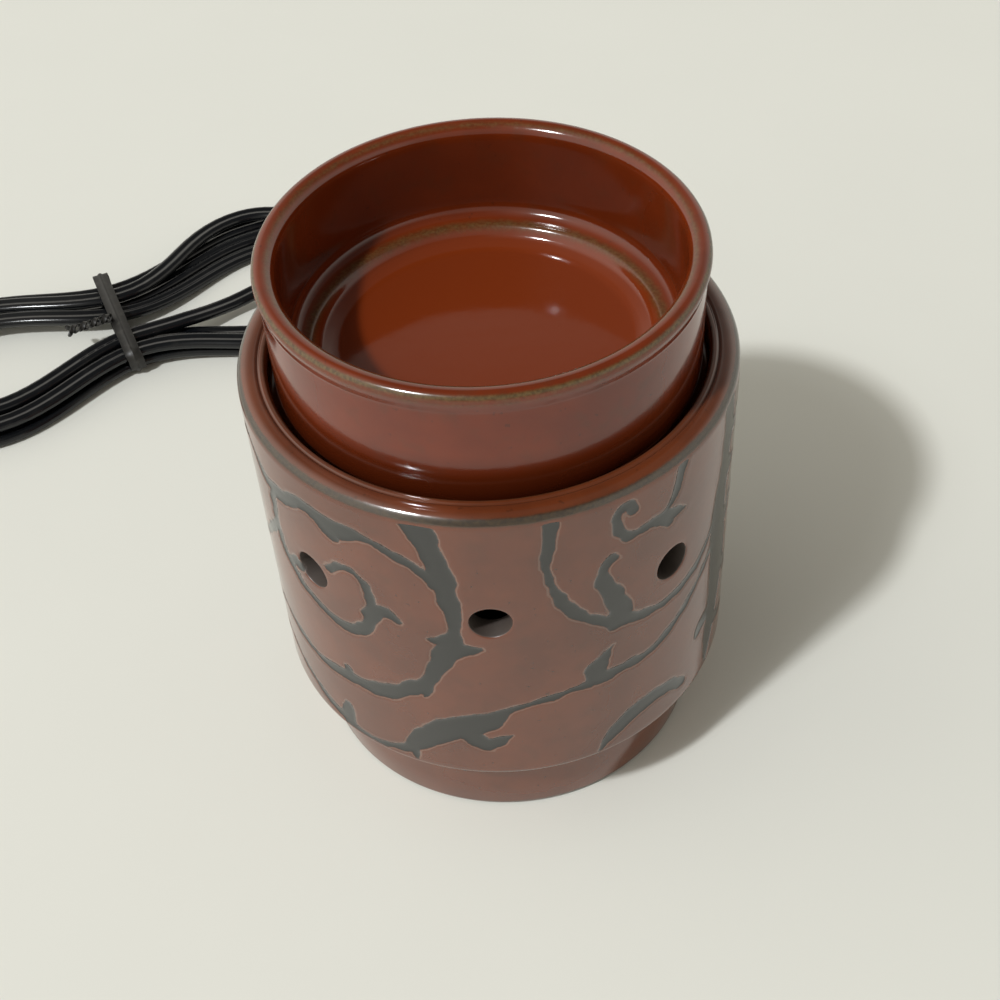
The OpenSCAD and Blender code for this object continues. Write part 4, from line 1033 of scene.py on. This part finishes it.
def bodyMesh(shape):
    low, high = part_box("warmer_body")
    radius = high.x / mm
    top = high.z / mm
    foot = low.z / mm
    edge = shape["wallEdge"]
    segments = shape["segments"]
    outline, worn = bodyOutline(shape, radius, top, foot)
    r, z = outline.T
    unglazed = (r < radius - 5) & (z < top - 13) & (z > edge + 0.1)  # the chamber
    unglazed |= (r < radius - 11.5) & (z < edge + 0.1) | (z < foot + 0.3)  # inside the foot and under it
    start = math.radians(shape["ventTurn"])
    points = [turnedPoints(outline, segments, start).reshape(-1, 3)]
    bare = [np.repeat(unglazed.astype(float), segments)]
    thin = [np.repeat(worn, segments)]
    outside = [np.repeat((r > radius - 0.01) & (z > edge), segments)]
    faces = gridFaces(len(outline), segments, True)
    keep = np.ones(faces.shape[:2], bool)
    ventZ = top - shape["ventDrop"]
    outerRow = int(np.argmin(np.abs(z - ventZ) + 10 * (r < radius - 0.01)))
    innerRow = int(np.argmin(np.abs(z - ventZ) + 10 * np.abs(r - radius + shape["wall"])))
    a = shape["windowColumns"]
    b = shape["windowRows"]
    da, db = patchRing(a, b)
    count = len(da)
    ventFaces = []
    total = len(points[0])
    for k in range(shape["vents"]):
        column = k * segments // shape["vents"]
        columns = (column + np.arange(-a, a)) % segments
        keep[np.ix_(range(outerRow - b, outerRow + b), columns)] = False
        keep[np.ix_(range(innerRow - b, innerRow + b), columns)] = False
        loops = [(outerRow + db) * segments + (column + da) % segments]
        angle = start + 2 * math.pi * k / shape["vents"]
        for spots, isOut, glazed in ventLoops(shape, radius, da, db, angle, ventZ):
            loops.append(total + np.arange(count))
            total += count
            points.append(spots)
            thin.append(np.zeros(count))
            bare.append(np.full(count, 1.0 - glazed))
            outside.append(np.full(count, isOut))
        loops.append((innerRow - db) * segments + (column + da) % segments)
        for one, two in zip(loops[:-1], loops[1:]):
            ventFaces.append(np.stack([one, np.roll(one, -1), np.roll(two, -1), two], 1))
    points = np.vstack(points)
    vine = sinkVine(shape, points, np.concatenate(outside), radius, top)
    allFaces = faces[keep].tolist() + np.vstack(ventFaces).tolist()
    piece = makePiece("glazedBody", points * mm, allFaces, "base", bodyGlaze, ["warmer_body"],
                      sharp=44)
    setAttribute(piece, "thin", np.concatenate(thin))
    setAttribute(piece, "vine", vine)
    setAttribute(piece, "bare", np.concatenate(bare))
    return piece


glazedBody = bodyMesh(bodyShape)
print("body made with", len(glazedBody.data.polygons), "faces")


# Dish: a low foot, a wall that opens a little, a ledge and a step round its floor
dishShape = {
    "segments": 256,
    "footRing": (40.5, 45.5),  # radii
    "hollow": 1.5,  # height of the recess under it
    "heel": 1.4, "heelHeight": 4.5,  # in from the rim, and above the seat
    "waist": 1.35, "waistDrop": 5.2,  # in from the rim, and below it
    "wall": 5.6,
    "step": 10.5,  # in from the rim
    "stepSlope": (1.8, 2.3),  # across and down
    "stepFoot": 5.2,
    "ledge": 10.1, "floor": 6.5,  # above the seat
    "floorLight": 9,  # mm over which the painted light grows toward the floor
    "shadeTop": 17.5, "shadeFade": 7,  # above the seat: where the painted shade on the outer wall ends, and how far it fades
    # share of the painted shade on the inner wall
    "insideShade": 0.5,
}


def dishPiece(shape):
    low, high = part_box("wax_dish")
    rim = high.x / mm
    top = high.z / mm
    seat = low.z / mm
    inner = rim - shape["wall"]
    step = rim - shape["step"]
    ledge = seat + shape["ledge"]
    floor = seat + shape["floor"]
    hollow = seat + shape["hollow"]
    footIn, footOut = shape["footRing"]
    across, down = shape["stepSlope"]
    corners = [
        (0, hollow), (footIn - 1, hollow, 0.5), (footIn, seat, 0.4, 0.3), (footOut, seat, 0.5, 0.4),
        (rim - shape["heel"], seat + shape["heelHeight"], 2.5),
        (rim - shape["waist"], top - shape["waistDrop"], 4), (rim, top, 1.9), (inner, top, 3.0),
        (inner, ledge, 3.4), (step, ledge, 1.5), (step - across, ledge - down, 2.6),
        (step - shape["stepFoot"], floor, 7.0), (0, floor)]
    wear = [(rim - 0.45, top - 0.6, 0.95, 0.7), (rim - 0.3, top - 2.4, 0.42, 1.3),
            (inner + 1.1, top - 0.4, 0.56, 1.2), (step + 0.5, ledge, 0.62, 2.3)]
    piece = turnedPiece("meltingDish", corners, shape["segments"], 1.4, "dish", dishGlaze,
                        ["wax_dish"], edges=wear)
    x, y, z = np.array([v.co[:] for v in piece.data.vertices]).T / mm
    r = np.hypot(x, y)
    # painted light, growing from the inner wall to full on the floor
    setAttribute(piece, "floorLight", np.clip((inner - r) / shape["floorLight"], 0, 1) * (z > floor - 0.1))
    # painted shade: full low on the outer wall, and part of it on the inner wall between ledge and rim
    lowWallShade = np.clip((seat + shape["shadeTop"] - z) / shape["shadeFade"], 0, 1)
    insideShade = shape["insideShade"] * np.clip((z - ledge) / 3, 0, 1) * np.clip((top - 1 - z) / 3, 0, 1)
    setAttribute(piece, "run", np.where(r > inner + 1.5, lowWallShade, insideShade))
    return piece


dishPiece(dishShape)

# Lamp: its glass, its cap with a wound thread, and the filament
lampShape = {
    "segments": 72,
    "capTop": 43.2, "capLow": 30.2, "capRadius": 5.85, "capNose": 4.65, "capWall": 0.5, "capFloor": 1.5,
    "pitch": 2.54, "ridge": 0.35, "threadRows": 58,
    "threadFoot": 1, "threadHead": 1.4, "threadFade": 1.2,  # plain ends of the cap, and how the thread fades
    "neck": 5.55, "neckHeight": 4, "glassRadius": 16, "glassHeight": 41, "wall": 0.8,
    "filamentRise": 71.2, "filamentReach": 6.72, "filamentBow": 1.6, "filamentWave": 0.6,
    "coilRadius": 0.28, "coils": 64, "wire": 0.07,
}


def lampGlass(shape):
    radius = shape["glassRadius"]
    neckTop = shape["capTop"] + shape["neckHeight"]
    roundZ = shape["capTop"] + shape["glassHeight"] - radius

    def side(inset):
        t = np.linspace(0, 1, 22)
        a = np.linspace(0, math.pi / 2, 22)[1:-1]
        lower = np.stack([shape["neck"] - inset + (radius - shape["neck"]) * (1 - np.cos(math.pi * t)) / 2,
                          neckTop + (roundZ - neckTop) * t], 1)
        upper = np.stack([(radius - inset) * np.cos(a), roundZ + (radius - inset) * np.sin(a)], 1)
        return [(shape["neck"] - inset, shape["capTop"]), *lower, *upper]
    tip = roundZ + radius
    corners = [(0, tip - shape["wall"]), *side(shape["wall"])[::-1], *side(0), (0, tip)]
    return turnedPiece("lampGlass", corners, shape["segments"], 50, "bulb", lampGlassClear,
                       ["bulb_glass"])


def lampCap(shape):
    low = shape["capLow"]
    top = shape["capTop"]
    segments = shape["segments"]
    threadLow = low + shape["threadFoot"]
    threadTop = top - shape["threadHead"]
    z = np.concatenate([np.linspace(threadLow, threadTop, shape["threadRows"]), [threadTop + 0.2, top]])
    angle = 2 * math.pi * np.arange(segments) / segments
    wave = 0.5 - 0.5 * np.cos(2 * math.pi * z[:, None] / shape["pitch"] - angle)
    ends = np.clip(np.minimum(z - threadLow, threadTop - z) / shape["threadFade"], 0, 1)[:, None]
    thread = shape["capRadius"] - shape["ridge"] * (1 - wave * ends)
    inside = shape["neck"] - shape["wall"] - shape["capWall"]
    axis = 0.05  # radius of the small ring at the cap's axis
    lead = [(axis, low), (shape["capNose"], low)]
    tail = [(inside, top), (inside, low + shape["capFloor"]), (axis, low + shape["capFloor"])]
    rows = [np.full(segments, r) for r, _ in lead] + list(thread) + [np.full(segments, r) for r, _ in tail]
    heights = [h for _, h in lead] + list(z) + [h for _, h in tail]
    points = np.array([np.stack([row * np.cos(angle), row * np.sin(angle), np.full(segments, h)], 1)
                       for row, h in zip(rows, heights)]).reshape(-1, 3)
    faces = gridFaces(len(rows), segments, True).reshape(-1, 4).tolist()
    return makePiece("lampCap", points * mm, faces, "bulb", lampBrass, ["bulb_cap"], sharp=50)


def lampFilament(shape):
    t = np.linspace(-1, 1, shape["coils"] * 9)
    turn = math.pi * shape["coils"] * t
    wave = shape["filamentWave"] * np.sin(4 * math.pi * t)
    bow = shape["filamentBow"] * (1 - t * t)
    path = np.stack([shape["filamentReach"] * t, wave + shape["coilRadius"] * np.cos(turn),
                     shape["filamentRise"] + bow + shape["coilRadius"] * np.sin(turn)], 1)
    points, faces = sweep(path, roundSection(shape["wire"], 5))
    return makePiece("lampFilament", points * mm, faces, "bulb", tungstenWire, ["filament"],
                     sharp=60)


lampGlass(lampShape)
lampCap(lampShape)
lampFilament(lampShape)
print("dish and lamp made")


# Plain pale floor and soft light
stageLook = {
    "floor": (224, 224, 216),
    "floorHalf": 3.0,  # m
    "floorPatch": 60,  # mm, size of its faint mottling
    "room": (0.82, 0.785, 0.704, 1),
    "overhead": (0.1, 0.097, 0.088, 1),  # the room is darker above
    "fallOff": (0.35, 0.78),  # upward part of the direction
    "patches": [  # lighter low on the left, and darker in front, where the viewer stands
        {"colour": (1.2, 1.16, 1.05, 1), "toward": (-0.94, -0.2, 0.28), "spread": (0.3, 1.0)},
        {"colour": (0.42, 0.402, 0.36, 1), "toward": (0, -0.97, 0.24), "spread": (0.72, 0.97)},
    ],
    "aim": (0, 0, 0.07),  # m, where the lamps point
    "lamps": {
        "keyLamp": {"place": (-3.8, -3.22, 6.5), "size": 0.5, "power": 385.0, "warmth": (0.96, 0.98, 1)},
        "softLamp": {"place": (-3.88, -3.28, 6.64), "size": 1.5, "power": 100.0, "warmth": (0.96, 0.98, 1)},
    },
}


def layFloor(look):
    material, wire, place = startFinish("paleFloor")
    cloud = grainNoise(place, look["floorPatch"], 3)
    pale = rgb(*look["floor"])
    darker = tuple(c * 0.97 for c in pale[:3]) + (1,)
    closeFinish(wire, {"Base Color": blendColour(cloud, darker, pale), "Roughness": 0.62, "IOR": 1.4})
    h = look["floorHalf"]
    mesh = bpy.data.meshes.new("floor")
    mesh.from_pydata([(-h, -h, 0), (h, -h, 0), (h, h, 0), (-h, h, 0)], [], [(0, 1, 2, 3)])
    mesh.materials.append(material)
    floor = bpy.data.objects.new("floor", mesh)
    bpy.context.scene.collection.objects.link(floor)


def hangLamp(name, lamp, aim):
    data = bpy.data.lights.new(name, "AREA")
    data.shape = "DISK"
    data.size = lamp["size"]
    data.energy = lamp["power"]
    data.color = lamp["warmth"]
    light = bpy.data.objects.new(name, data)
    turned = (Vector(aim) - Vector(lamp["place"])).to_track_quat("-Z", "Y").to_matrix().to_4x4()
    light.matrix_world = Matrix.Translation(lamp["place"]) @ turned
    bpy.context.scene.collection.objects.link(light)


def lightRoom(look):
    world = bpy.data.worlds.new("room")
    world.use_nodes = True
    world.node_tree.nodes.clear()
    wire = Wire(world.node_tree)
    direction = wire.add("ShaderNodeTexCoord", out="Generated")
    upward = wire.add("ShaderNodeSeparateXYZ", {}, {"Vector": direction}, out="Z")
    colour = blendColour(smoothStep(upward, *look["fallOff"]), look["room"], look["overhead"])
    for patch in look["patches"]:
        facing = wire.add("ShaderNodeVectorMath", {"operation": "DOT_PRODUCT"},
                          {0: direction, 1: patch["toward"]}, out="Value")
        colour = blendColour(smoothStep(facing, *patch["spread"]), colour, patch["colour"])
    glow = wire.add("ShaderNodeBackground", {}, {"Color": colour})
    wire.add("ShaderNodeOutputWorld", {}, {"Surface": glow})
    bpy.context.scene.world = world


layFloor(stageLook)
for lampName, lamp in stageLook["lamps"].items():
    hangLamp(lampName, lamp, stageLook["aim"])
lightRoom(stageLook)
print("floor and lights set")
